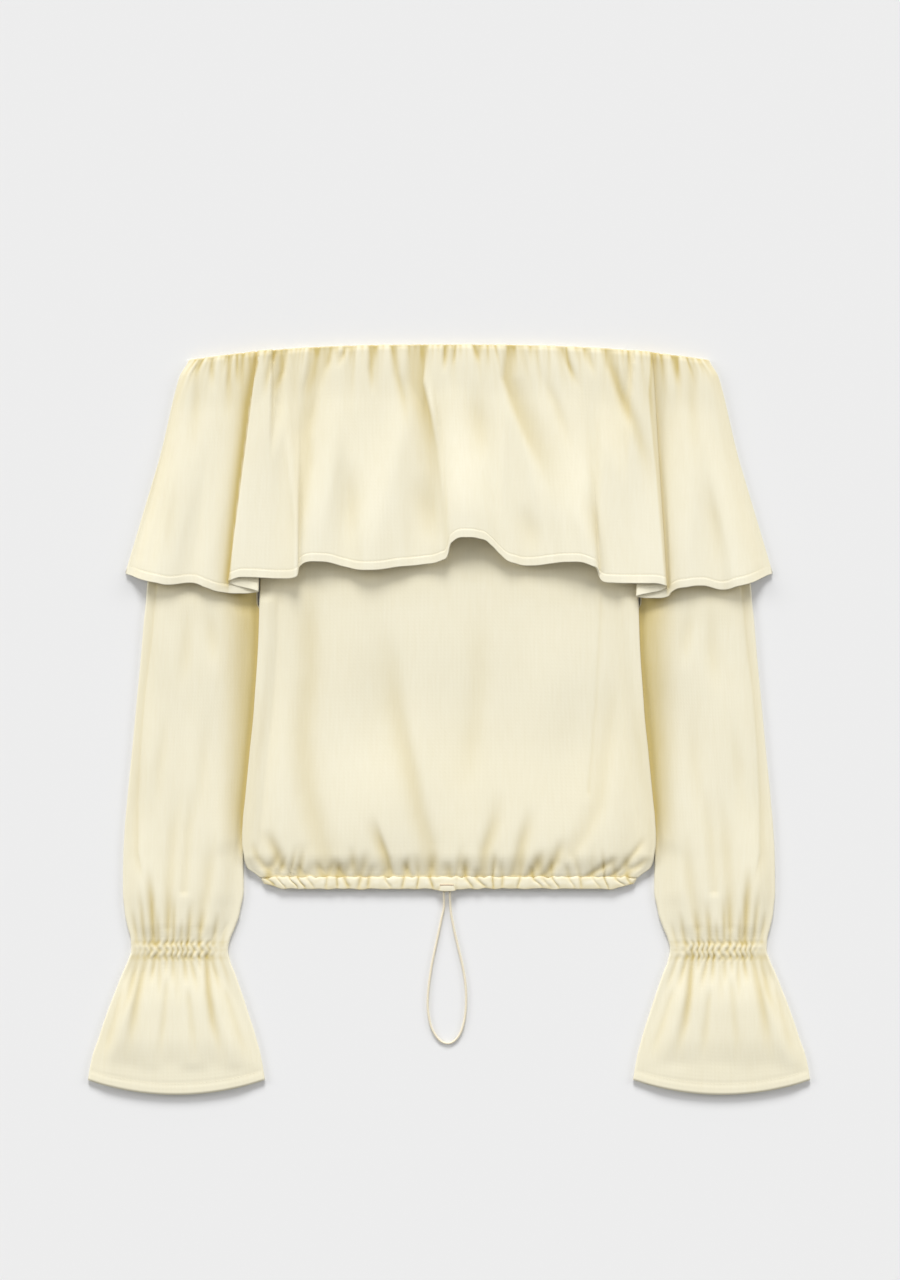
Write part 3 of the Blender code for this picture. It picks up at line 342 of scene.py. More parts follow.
CUFF_CREASES = (
    Crease(((133, 956), (122, 990)), 0.20, 2.0, 2.0, 0.8, 1.3),
    Crease(((138, 956), (130, 994), (120, 1024)), 0.32, 2.4, 2.6, 1.4, 1.6),
    Crease(((146, 956), (137, 1000), (131, 1036), (125, 1066)), 0.32, 2.4, 3.0, 1.5, 1.9, 0.4),
    Crease(((155, 956), (151, 986)), 0.38, 1.9, 1.9, 1.3, 1.3),
    Crease(((160, 956), (160, 1004)), 0.20, 1.8, 1.8, 0.8, 1.4),
    Crease(((167, 956), (166, 978)), 0.22, 1.6, 1.6, 0.8, 1.3),
    Crease(((173.6, 956), (173.6, 988)), 0.28, 1.9, 1.9, 1.0, 1.4),
    Crease(((184.5, 956), (187, 988)), 0.32, 1.9, 1.9, 1.1, 1.4),
    Crease(((190, 956), (199, 994)), 0.28, 1.8, 2.0, 1.0, 1.5),
    Crease(((199, 956), (201, 975)), 0.20, 1.6, 1.6, 0.8, 1.2),
    Crease(((206, 956), (209, 994), (213, 1021), (225, 1066)), 0.42, 2.2, 2.8, 1.8, 1.9, 0.4),
    Crease(((211.6, 956), (221, 993)), 0.34, 1.8, 2.0, 1.2, 1.5),
    Crease(((221, 957), (233, 993)), 0.22, 1.8, 1.8, 0.8, 1.3),
    Crease(((168, 972), (164, 1020), (158, 1070)), 0.13, 2.2, 2.2, 0.7, 1.8, 0.5, 0.2),
    Crease(((188, 984), (193, 1030), (197, 1070)), 0.14, 2.2, 2.4, 0.7, 1.8, 0.5, 0.2),
    Crease(((224, 985), (238, 1030), (249, 1062)), 0.11, 2.0, 2.0, 0.5, 1.8, 0.6, 0.2),
    Crease(((124, 982), (112, 1030), (103, 1064)), 0.11, 2.0, 2.0, 0.5, 1.8, 0.6, 0.2),
    Crease(((178, 960), (178, 1010)), 0.10, 1.8, 1.8, 0.5, 1.6, 0.4),
)
SLEEVE_CREASES = (
    Crease(((157.4, 584), (152, 641), (145, 696), (141, 750), (138.4, 804), (138.4, 853), (145, 886)), 0.12, 6.0, 1.0,
           0.5, 1.0, 0.9),
    Crease(((189, 595), (186, 655), (180, 700)), 0.11, 6.0, 6.0, 1.0, 1.0, 0.5, 0.5),
    Crease(((208, 600), (213, 640), (216, 672)), 0.11, 6.0, 6.0, 1.0, 1.0, 0.5, 0.5),
    Crease(((168, 700), (160, 770), (156, 830)), 0.07, 5.0, 5.0, 0.8, 1.0, 0.5, 0.5),
    Crease(((206, 700), (204, 760), (199, 830)), 0.08, 6.0, 6.0, 0.9, 1.0, 0.5, 0.5),
)

# Route of the drawcord, from the casing's edge down, round its loop and back up
CORD_ROUTE = (
    (-0.0046, -0.1463, 0.0040), (-0.0044, -0.1500, 0.0031), (-0.0043, -0.1555, 0.0017),
    (-0.0046, -0.1610, 0.0011), (-0.0064, -0.1690, 0.0011), (-0.0097, -0.1850, 0.0011),
    (-0.0134, -0.2020, 0.0011), (-0.0160, -0.2168, 0.0011), (-0.0178, -0.2330, 0.0011),
    (-0.0180, -0.2450, 0.0011), (-0.0161, -0.2575, 0.0011), (-0.0128, -0.2660, 0.0011),
    (-0.0075, -0.2728, 0.0011), (-0.0010, -0.2752, 0.0011), (0.0048, -0.2728, 0.0011),
    (0.0098, -0.2660, 0.0011), (0.0131, -0.2550, 0.0011), (0.0145, -0.2418, 0.0011),
    (0.0142, -0.2270, 0.0011), (0.0119, -0.2111, 0.0011), (0.0079, -0.1940, 0.0011),
    (0.0045, -0.1792, 0.0011), (0.0018, -0.1650, 0.0011), (0.0011, -0.1570, 0.0016),
    (0.0008, -0.1505, 0.0030), (0.0007, -0.1463, 0.0040),
)


def ramp(value: Array | float, start: float, end: float) -> Array:
    """Run straight from 0 at start to 1 at end.

    Args:
        value: Where to read it.
        start: Value where it is 0.
        end: Value where it is 1.

    Returns:
        The part of the way, held between 0 and 1.
    """
    return np.clip((np.asarray(value) - start) / (end - start), 0.0, 1.0)


def ease(value: Array | float, start: float, end: float) -> Array:
    """Run smoothly from 0 at start to 1 at end.

    Args:
        value: Where to read it.
        start: Value where it is 0.
        end: Value where it is 1.

    Returns:
        The part of the way, level at both ends.
    """
    part = ramp(value, start, end)
    return part * part * (3.0 - 2.0 * part)


def blend(first: Array | float, second: Array | float, part: Array | float) -> Array:
    """Mix two values.

    Args:
        first: Value at part 0.
        second: Value at part 1.
        part: Share of the second value.

    Returns:
        The mixed value.
    """
    return np.asarray(first) * (1.0 - np.asarray(part)) + np.asarray(second) * np.asarray(part)


def curve_through(keys: Array, values: Array, places: Array | float) -> Array:
    """Read a smooth curve that never overshoots the points it passes through.

    Args:
        keys: Rising places of the points.
        values: Values at those places.
        places: Where to read the curve.

    Returns:
        The curve's values.
    """
    spans = np.diff(keys)
    steps = np.diff(values) / spans
    slopes = np.empty(len(keys))
    slopes[0] = steps[0]
    slopes[-1] = steps[-1]
    before = steps[:-1]
    after = steps[1:]
    total = before + after
    same_way = before * after > 0.0
    slopes[1:-1] = np.where(same_way, 2.0 * before * after / np.where(same_way, total, 1.0), 0.0)
    held = np.clip(places, keys[0], keys[-1])
    lower = np.clip(np.searchsorted(keys, held, side="right") - 1, 0, len(keys) - 2)
    span = spans[lower]
    part = (held - keys[lower]) / span
    start = values[lower] + slopes[lower] * span * part
    end = values[lower + 1] - slopes[lower + 1] * span * (1.0 - part)
    return blend(start, end, part * part * (3.0 - 2.0 * part))


def read_column(rows: tuple, column: str, y: Array | float) -> Array:
    """Read a column of a table whose rows go down in y.

    Args:
        rows: The table.
        column: Name of its column.
        y: Heights to read it at.

    Returns:
        Values on a smooth line through the rows.
    """
    keys = np.array([-row.y for row in rows])
    values = np.array([getattr(row, column) for row in rows])
    return curve_through(keys, values, -np.asarray(y, dtype=float))


def neckline(x: Array | float) -> Array:
    """Give the height of the neckline's arc at x."""
    return NECK_TOP - NECK_DROP * np.abs(np.asarray(x) / NECK_HALF) ** NECK_BEND


def under_step(y: Array | float) -> Array:
    """Give how far the layers are raised by the back ruffle under them."""
    return LAYER * ramp(y, STEP_FOOT_Y, STEP_TOP_Y)


def step_ease(y: Array | float) -> Array:
    """Give what turns the short step over the back ruffle into a long slope in the cloth on top."""
    return LAYER * ease(y, SLOPE_FOOT_Y, STEP_TOP_Y) - under_step(y)


def body_half_width(y: Array | float) -> Array:
    """Give the half width of the body at a height."""
    return read_column(BODY_EDGES, "value", y)


def edge_lift(x: Array, y: Array) -> Array:
    """Give how far the body's side edges rise over the inner edges of the sleeves."""
    inset = body_half_width(y) - np.abs(x)
    down_sides = 1.0 - ramp(inset, LIFT_OUTER, LIFT_INNER)
    along = ramp(y, PANEL_FOOT_Y, EDGE_DOWN_Y) * (1.0 - ramp(y, STEP_FOOT_Y, STEP_TOP_Y))
    return EDGE_LIFT * down_sides * along


def back_panel_height(x: Array, y: Array) -> Array:
    """Give the middle of the back panel's wall."""
    return under_step(y) + edge_lift(x, y) + WALL / 2.0


def front_panel_height(x: Array, y: Array) -> Array:
    """Give the middle of the front panel's wall without its creases."""
    inset = body_half_width(y) - np.abs(x)
    loft = read_column(FRONT_LOFTS, "value", y) * ease(inset, 0.004, 0.040)
    return back_panel_height(x, y) + WALL + INNER_GAP + loft


def sleeve_top_height(x: Array, y: Array) -> Array:
    """Give the middle of a sleeve's upper wall without its creases, at a distance x from the middle."""
    inner = read_column(SLEEVE_RINGS, "inner", y)
    outer = read_column(SLEEVE_RINGS, "outer", y)
    air = read_column(SLEEVE_RINGS, "air", y)
    shape = ease(x - inner, 0.006, 0.026) * ease(outer - x, 0.001, 0.018)
    return under_step(y) + WALL + INNER_GAP + air * shape + WALL / 2.0


def soft_noise(x: Array, y: Array, size: float, seed: int) -> Array:
    """Give a smooth irregular field between about -1 and 1.

    Args:
        x: Places across.
        y: Places along.
        size: Length of its waves.
        seed: Start of its random draws.

    Returns:
        The field at those places.
    """
    draw = np.random.default_rng(seed)
    total = np.zeros(np.broadcast(x, y).shape)
    for _ in range(7):
        angle = draw.uniform(0.0, math.pi)
        length = size * draw.uniform(0.7, 1.6)
        phase = draw.uniform(0.0, 2.0 * math.pi)
        along = (np.asarray(x) * math.cos(angle) + np.asarray(y) * math.sin(angle)) / length
        total = total + np.sin(2.0 * math.pi * along + phase)
    return total / 3.5


def crease_field(x: Array, y: Array, creases: tuple[Crease, ...], from_foot: bool = False) -> tuple[Array, Array]:
    """Add up the troughs of creases and their shade.

    Args:
        x: Places across, as seen on the plan.
        y: Places along.
        creases: The creases.
        from_foot: Whether they run out from the last point of their path.

    Returns:
        Their height in metres, and how deep in shade each place lies from 0 up.
    """
    height = np.zeros(x.shape)
    shade = np.zeros(x.shape)
    for crease in creases:
        path = [((px - PLAN_X) * PLAN_UNIT, (PLAN_Y - py) * PLAN_UNIT) for px, py in crease.path]
        first_side, second_side = crease.left, crease.right
        if from_foot:
            path.reverse()
            first_side, second_side = second_side, first_side
        reach = 3.0 * max(crease.left, crease.right) * max(1.0, crease.grow) * 0.001
        xs = [point[0] for point in path]
        ys = [point[1] for point in path]
        near = (x > min(xs) - reach) & (x < max(xs) + reach) & (y > min(ys) - reach) & (y < max(ys) + reach)
        if not near.any():
            continue
        px = x[near]
        py = y[near]
        lengths = [math.dist(a, b) for a, b in zip(path, path[1:])]
        whole = sum(lengths)
        closest = np.full(px.shape, 1.0)
        aside = np.zeros(px.shape)
        along = np.zeros(px.shape)
        run = 0.0
        for (ax, ay), (bx, by), length in zip(path, path[1:], lengths):
            dx = (bx - ax) / length
            dy = (by - ay) / length
            part = np.clip((px - ax) * dx + (py - ay) * dy, 0.0, length)
            gap = np.hypot(px - ax - part * dx, py - ay - part * dy)
            better = gap < closest
            side = np.sign(dx * (py - ay) - dy * (px - ax))
            closest = np.where(better, gap, closest)
            aside = np.where(better, gap * side, aside)
            along = np.where(better, (run + part) / whole, along)
            run += length
        fade = (1.0 - ease(along, crease.hold, 1.0)) if crease.hold < 1.0 else 1.0
        taper = (ease(along, 0.0, crease.rise) if crease.rise > 0.0 else 1.0) * fade
        width = np.where(aside > 0.0, second_side, first_side) * 0.001 * blend(1.0, crease.grow, along)
        form = np.exp(-(aside / width) ** 2) * taper
        height[near] -= crease.depth * 0.001 * form
        shade[near] += crease.shade * form
    return height, shade


class Gather(NamedTuple):
    """A gather at the hem: its place across, its depth, its width and its lean."""

    x: float
    depth: float
    width: float
    lean: float


def hem_gathers() -> list[Gather]:
    """Give the gathers that the cord draws into the hem, from left to right."""
    draw = np.random.default_rng(13)
    return [Gather((plan_x - PLAN_X) * PLAN_UNIT, draw.uniform(0.0005, 0.0014), draw.uniform(0.0010, 0.0021),
                   draw.uniform(-0.0010, 0.0040)) for plan_x in HEM_GATHERS]


class Colour(NamedTuple):
    """A colour in linear light."""

    red: float
    green: float
    blue: float

    def with_alpha(self) -> tuple[float, float, float, float]:
        """Give the colour as a socket takes it."""
        return (self.red, self.green, self.blue, 1.0)


class Nodes:
    """Adds nodes to a material and joins them."""

    def __init__(self, material: bpy.types.Material) -> None:
        """Start on a new material with its plain shader."""
        material.use_nodes = True
        self.tree = material.node_tree
        self.shader = self.tree.nodes["Principled BSDF"]

    def add(self, kind: str, **values: object) -> bpy.types.Node:
        """Add a node.

        Args:
            kind: The node's type.
            values: Its properties, or its inputs where the name starts with a capital letter.

        Returns:
            The new node.
        """
        node = self.tree.nodes.new(kind)
        for name, value in values.items():
            if name[0].isupper():
                node.inputs[name.replace("_", " ")].default_value = value
            else:
                setattr(node, name, value)
        return node

    def join(self, start: bpy.types.NodeSocket, end: bpy.types.NodeSocket) -> None:
        """Join an output to an input."""
        self.tree.links.new(start, end)


@dataclass(frozen=True)
class ClothFinish:
    """Soft woven cloth whose colour deepens where painted shade lies in its folds, creases and shadows."""

    name: str = "cream_cloth_woven"
    light: Colour = Colour(0.880, 0.840, 0.680)
    painted_shade_colour: Colour = Colour(0.590, 0.470, 0.185)
    roughness: float = 0.55
    sheen: float = 0.18
    thread: float = 0.00055
    weave: float = 0.12

    def build(self) -> bpy.types.Material:
        """Make the material."""
        material = bpy.data.materials.new(self.name)
        nodes = Nodes(material)
        # The shade attribute is painted shade; it mixes the cloth's colour towards the painted shade colour
        shade = nodes.add("ShaderNodeAttribute", attribute_name="shade")
        place = nodes.add("ShaderNodeTexCoord")
        cloud = nodes.add("ShaderNodeTexNoise", Scale=9.0, Detail=3.0, Roughness=0.6)
        nodes.join(place.outputs["Object"], cloud.inputs["Vector"])
        drawn = nodes.add("ShaderNodeMapping", Scale=(1.0, 0.09, 1.0))
        nodes.join(place.outputs["Object"], drawn.inputs["Vector"])
        slub = nodes.add("ShaderNodeTexNoise", Scale=520.0, Detail=2.0, Roughness=0.5)
        nodes.join(drawn.outputs["Vector"], slub.inputs["Vector"])
        drift = nodes.add("ShaderNodeMath", operation="MULTIPLY_ADD")
        drift.inputs[1].default_value = 0.16
        drift.inputs[2].default_value = -0.08
        nodes.join(cloud.outputs["Fac"], drift.inputs[0])
        grain = nodes.add("ShaderNodeMath", operation="MULTIPLY_ADD")
        grain.inputs[1].default_value = 0.13
        nodes.join(slub.outputs["Fac"], grain.inputs[0])
        nodes.join(drift.outputs["Value"], grain.inputs[2])
        total = nodes.add("ShaderNodeMath", operation="ADD", use_clamp=True)
        nodes.join(shade.outputs["Fac"], total.inputs[0])
        nodes.join(grain.outputs["Value"], total.inputs[1])
        mix = nodes.add("ShaderNodeMix", data_type="RGBA")
        mix.inputs[6].default_value = self.light.with_alpha()
        mix.inputs[7].default_value = self.painted_shade_colour.with_alpha()
        nodes.join(total.outputs["Value"], mix.inputs[0])
        nodes.join(mix.outputs[2], nodes.shader.inputs["Base Color"])
        self._weave(nodes)
        nodes.shader.inputs["Roughness"].default_value = self.roughness
        nodes.shader.inputs["Sheen Weight"].default_value = self.sheen
        nodes.shader.inputs["Sheen Roughness"].default_value = 0.4
        nodes.shader.inputs["Specular IOR Level"].default_value = 0.28
        return material

    def _weave(self, nodes: Nodes) -> None:
        """Raise the threads of warp and weft by a bump.

        Args:
            nodes: The material's nodes.
        """
        flat = nodes.add("ShaderNodeUVMap", uv_map="UVMap")
        waves = []
        for direction in ("X", "Y"):
            wave = nodes.add("ShaderNodeTexWave", wave_type="BANDS", bands_direction=direction,
                             Scale=1.0 / (self.thread * 20.0), Distortion=0.6, Detail=1.0)
            nodes.join(flat.outputs["UV"], wave.inputs["Vector"])
            waves.append(wave)
        crossed = nodes.add("ShaderNodeMath", operation="MULTIPLY")
        nodes.join(waves[0].outputs["Fac"], crossed.inputs[0])
        nodes.join(waves[1].outputs["Fac"], crossed.inputs[1])
        bump = nodes.add("ShaderNodeBump", Strength=self.weave, Distance=0.0002)
        nodes.join(crossed.outputs["Value"], bump.inputs["Height"])
        nodes.join(bump.outputs["Normal"], nodes.shader.inputs["Normal"])


@dataclass(frozen=True)
class ThreadFinish:
    """Spun thread or cord."""

    name: str
    colour: Colour
    dark: Colour
    roughness: float = 0.6
    bump: float = 0.3

    def build(self) -> bpy.types.Material:
        """Make the material."""
        material = bpy.data.materials.new(self.name)
        nodes = Nodes(material)
        place = nodes.add("ShaderNodeTexCoord")
        fibres = nodes.add("ShaderNodeTexNoise", Scale=900.0, Detail=3.0, Roughness=0.6)
        nodes.join(place.outputs["Object"], fibres.inputs["Vector"])
        mix = nodes.add("ShaderNodeMix", data_type="RGBA")
        mix.inputs[6].default_value = self.dark.with_alpha()
        mix.inputs[7].default_value = self.colour.with_alpha()
        nodes.join(fibres.outputs["Fac"], mix.inputs[0])
        nodes.join(mix.outputs[2], nodes.shader.inputs["Base Color"])
        bump = nodes.add("ShaderNodeBump", Strength=self.bump, Distance=0.0001)
        nodes.join(fibres.outputs["Fac"], bump.inputs["Height"])
        nodes.join(bump.outputs["Normal"], nodes.shader.inputs["Normal"])
        nodes.shader.inputs["Roughness"].default_value = self.roughness
        nodes.shader.inputs["Sheen Weight"].default_value = 0.15
        return material


@dataclass(frozen=True)
class FloorFinish:
    """Plain pale ground."""

    name: str = "pale_ground"
    colour: Colour = Colour(0.80, 0.80, 0.80)

    def build(self) -> bpy.types.Material:
        """Make the material."""
        material = bpy.data.materials.new(self.name)
        nodes = Nodes(material)
        place = nodes.add("ShaderNodeTexCoord")
        grain = nodes.add("ShaderNodeTexNoise", Scale=60.0, Detail=2.0)
        nodes.join(place.outputs["Object"], grain.inputs["Vector"])
        bump = nodes.add("ShaderNodeBump", Strength=0.01, Distance=0.0002)
        nodes.join(grain.outputs["Fac"], bump.inputs["Height"])
        nodes.join(bump.outputs["Normal"], nodes.shader.inputs["Normal"])
        nodes.shader.inputs["Base Color"].default_value = self.colour.with_alpha()
        nodes.shader.inputs["Roughness"].default_value = 0.9
        nodes.shader.inputs["Specular IOR Level"].default_value = 0.1
        return material


def new_mesh(name: str, points: list, faces: list, material: bpy.types.Material) -> bpy.types.Mesh:
    """Make a smooth mesh with its material."""
    mesh = bpy.data.meshes.new(name)
    mesh.from_pydata(points, [], faces)
    mesh.shade_smooth()
    mesh.materials.append(material)
    return mesh


def put_in_scene(name: str, data: bpy.types.ID) -> bpy.types.Object:
    """Make an object of a mesh, lamp or camera and link it to the scene."""
    thing = bpy.data.objects.new(name, data)
    bpy.context.scene.collection.objects.link(thing)
    return thing


@dataclass
class ClothGrid:
    """Rows of points across a sheet of cloth, with the shade in its folds and its flat cut."""

    name: str
    points: Array
    shade: Array
    wall: float
    closed: bool = False
    on_top: Array | None = None

    def darken(self, relief: ReliefMap, gain: float, most: float) -> None:
        """Deepen the colour where the surroundings take light away.

        Args:
            relief: Heights of everything that shows.
            gain: How much colour the lost light brings.
            most: The most that it may bring.
        """
        lost = relief.lost_light(self.points, self.wall)
        for axis in (0, 1):
            lost = 0.5 * lost + 0.25 * (np.roll(lost, 1, axis=axis) + np.roll(lost, -1, axis=axis))
        lost[0] = lost[1]
        lost[-1] = lost[-2]
        if not self.closed:
            lost[:, 0] = lost[:, 1]
            lost[:, -1] = lost[:, -2]
        shown = 1.0 if self.on_top is None else self.on_top
        self.shade = np.clip(self.shade + np.minimum(gain * lost, most) * shown, 0.0, 1.0)

    def _faces(self) -> Array:
        """Give the four corners of each cell."""
        rows, columns = self.points.shape[:2]
        across = np.arange(columns if self.closed else columns - 1)
        after = (across + 1) % columns
        top = np.arange(rows - 1)[:, None] * columns
        corners = np.stack([top + across, top + after, top + columns + after, top + columns + across], axis=-1)
        return corners.reshape(-1, 4)

    def _flat_places(self) -> Array:
        """Give each point's place on the flat cloth, in metres."""
        across = np.linalg.norm(np.diff(self.points, axis=1), axis=2)
        u = np.concatenate([np.zeros((self.points.shape[0], 1)), np.cumsum(across, axis=1)], axis=1)
        down = np.linalg.norm(np.diff(self.points, axis=0), axis=2)
        v = np.concatenate([np.zeros((1, self.points.shape[1])), np.cumsum(down, axis=0)], axis=0)
        u = u[-1] * np.ones_like(v)
        return np.stack([u, v], axis=-1).reshape(-1, 2)

    def build(self, material: bpy.types.Material) -> bpy.types.Object:
        """Make the sheet with its thickness.

        Args:
            material: Its cloth.

        Returns:
            The new object.
        """
        mesh = new_mesh(self.name, self.points.reshape(-1, 3).tolist(), self._faces().tolist(), material)
        tone = mesh.attributes.new("shade", "FLOAT", "POINT")
        tone.data.foreach_set("value", self.shade.reshape(-1).astype(np.float32))
        loops = np.empty(len(mesh.loops), dtype=np.int32)
        mesh.loops.foreach_get("vertex_index", loops)
        places = self._flat_places()[loops]
        mesh.uv_layers.new(name="UVMap").data.foreach_set("uv", places.reshape(-1).astype(np.float32))
        sheet = put_in_scene(self.name, mesh)
        thickness = sheet.modifiers.new("Wall", "SOLIDIFY")
        thickness.thickness = self.wall
        thickness.offset = 0.0
        thickness.use_even_offset = False
        return sheet

    def hem_length(self) -> float:
        """Give the length of the last row."""
        return float(np.linalg.norm(np.diff(self.points[-1], axis=0), axis=1).sum())

    def area(self) -> float:
        """Give the area of the sheet's middle surface."""
        corners = self.points.reshape(-1, 3)[self._faces()]
        first = np.cross(corners[:, 1] - corners[:, 0], corners[:, 2] - corners[:, 0])
        second = np.cross(corners[:, 2] - corners[:, 0], corners[:, 3] - corners[:, 0])
        return float((np.linalg.norm(first, axis=1) + np.linalg.norm(second, axis=1)).sum() / 2.0)


@dataclass
class ReliefMap:
    """Heights of the cloth, seen from above."""

    cell: float = 0.001
    half_x: float = 0.33
    half_y: float = 0.34
    directions: int = 12

    def __post_init__(self) -> None:
        """Start with a bare surface."""
        self.heights = np.zeros((round(2.0 * self.half_y / self.cell), round(2.0 * self.half_x / self.cell)))

    def _cells(self, x: Array, y: Array) -> tuple[Array, Array]:
        """Give the row and column of places."""
        rows, columns = self.heights.shape
        row = np.clip(((y + self.half_y) / self.cell).astype(int), 0, rows - 1)
        column = np.clip(((x + self.half_x) / self.cell).astype(int), 0, columns - 1)
        return row, column

    def add(self, grid: ClothGrid) -> None:
        """Lay a sheet on the map."""
        for down in (0.0, 1.0 / 3.0, 2.0 / 3.0):
            between = blend(grid.points[:-1], grid.points[1:], down)
            for across in (0.0, 0.5):
                spots = blend(between[:, :-1], between[:, 1:], across)
                place = self._cells(spots[..., 0], spots[..., 1])
                np.maximum.at(self.heights, place, spots[..., 2] + grid.wall / 2.0)

    def lost_light(self, points: Array, wall: float) -> Array:
        """Find how much of the sky each place loses to what stands round it.

        Args:
            points: Points in the middle of a wall.
            wall: Thickness of the wall.

        Returns:
            The lost part, from 0 to 1.
        """
        x = points[..., 0]
        y = points[..., 1]
        top = points[..., 2] + wall / 2.0 + 0.0001
        lost = np.zeros(x.shape)
        for turn in range(self.directions):
            angle = 2.0 * math.pi * turn / self.directions
            steepest = np.zeros(x.shape)
            for reach in (0.0015, 0.003, 0.005, 0.008, 0.012, 0.018, 0.026, 0.036):
                place = self._cells(x + reach * math.cos(angle), y + reach * math.sin(angle))
                steepest = np.maximum(steepest, (self.heights[place] - top) / reach)
            lost += steepest / np.sqrt(1.0 + steepest ** 2)
        return lost / self.directions


def hem_height(x: Array) -> Array:
    """Give how far down the front ruffle reaches over a place across."""
    waves = LEFT_WAVES + LEFT_FOLD[:1] + MIDDLE_WAVES[1:-1] + RIGHT_FOLD[-1:] + RIGHT_WAVES
    order = sorted((wave.hem_x, wave.hem_y) for wave in waves)
    return np.interp(x, [place[0] for place in order], [place[1] for place in order])


def ruffle_shadow(x: Array, y: Array) -> Array:
    """Give the soft shade that the front ruffle throws on what it hangs over."""
    below = np.maximum(hem_height(x) - y, 0.0)
    return 0.08 * np.exp(-below / 0.012)


@dataclass
class StitchLine:
    """A line of small stitches along a path on the cloth."""

    name: str
    pitch: float = 0.0027
    length: float = 0.0019
    width: float = 0.00036
    sides: int = 6

    def build(self, paths: list[Array], thread: bpy.types.Material) -> bpy.types.Object:
        """Make the stitches.

        Args:
            paths: Points on the cloth's surface, one array for each line.
            thread: Finish of the thread.

        Returns:
            The piece.
        """
        stations = np.array([-1.0, -0.78, -0.30, 0.30, 0.78, 1.0])
        girth = np.array([0.10, 0.72, 1.0, 1.0, 0.72, 0.10])
        angles = np.linspace(0.0, 2.0 * math.pi, self.sides, endpoint=False)
        points: list[tuple[float, float, float]] = []
        faces: list[tuple[int, ...]] = []
        for path in paths:
            steps = np.linalg.norm(np.diff(path, axis=0), axis=1)
            run = np.concatenate([[0.0], np.cumsum(steps)])
            for place in np.arange(self.pitch, run[-1] - self.pitch, self.pitch):
                ends = [np.array([np.interp(place + end, run, path[:, axis]) for axis in range(3)])
                        for end in (-self.length / 2.0, self.length / 2.0)]
                middle = (ends[0] + ends[1]) / 2.0
                along = (ends[1] - ends[0]) / max(1e-6, float(np.linalg.norm(ends[1] - ends[0])))
                aside = np.cross(np.array([0.0, 0.0, 1.0]), along)
                up = np.cross(along, aside)
                start = len(points)
                for station, part in zip(stations, girth):
                    for angle in angles:
                        offset = aside * math.cos(angle) + 0.7 * up * math.sin(angle)
                        spot = middle + along * station * self.length / 2.0 + offset * part * self.width / 2.0
                        points.append(tuple(spot))
                rings = len(stations)
                for ring in range(rings - 1):
                    for side in range(self.sides):
                        after = (side + 1) % self.sides
                        low = start + ring * self.sides
                        faces.append((low + side, low + after, low + self.sides + after, low + self.sides + side))
                faces.append(tuple(reversed(range(start, start + self.sides))))
                faces.append(tuple(range(start + (rings - 1) * self.sides, start + rings * self.sides)))
        piece = put_in_scene(self.name, new_mesh(self.name, points, faces, thread))
        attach(piece, "root")
        LOG.info("%s: %d triangles", self.name, 2 * len(faces))
        return piece


def declare(piece: bpy.types.Object, node: str) -> None:
    """Make a piece ride on the garment and stand for its node.

    Args:
        piece: The piece.
        node: Name of the node that it replaces.
    """
    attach(piece, "root")
    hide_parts(node)


def ruffle_width(neck_x: Array, hem_x: Array, down: Array) -> Array:
    """Lead each column of a ruffle from the neck to the hem, with full sides below the neckline.

    Args:
        neck_x: Its place at the neck.
        hem_x: Its place at the hem.
        down: Each row's part of the way down.

    Returns:
        Places across.
    """
    full = SIDE_FULLNESS * ease(down, 0.0, 0.08) * (1.0 - ease(down, 0.08, 0.50))
    return blend(neck_x, hem_x, down) + np.sign(neck_x) * full * ease(np.abs(neck_x), SIDE_START_X, NECK_HALF)


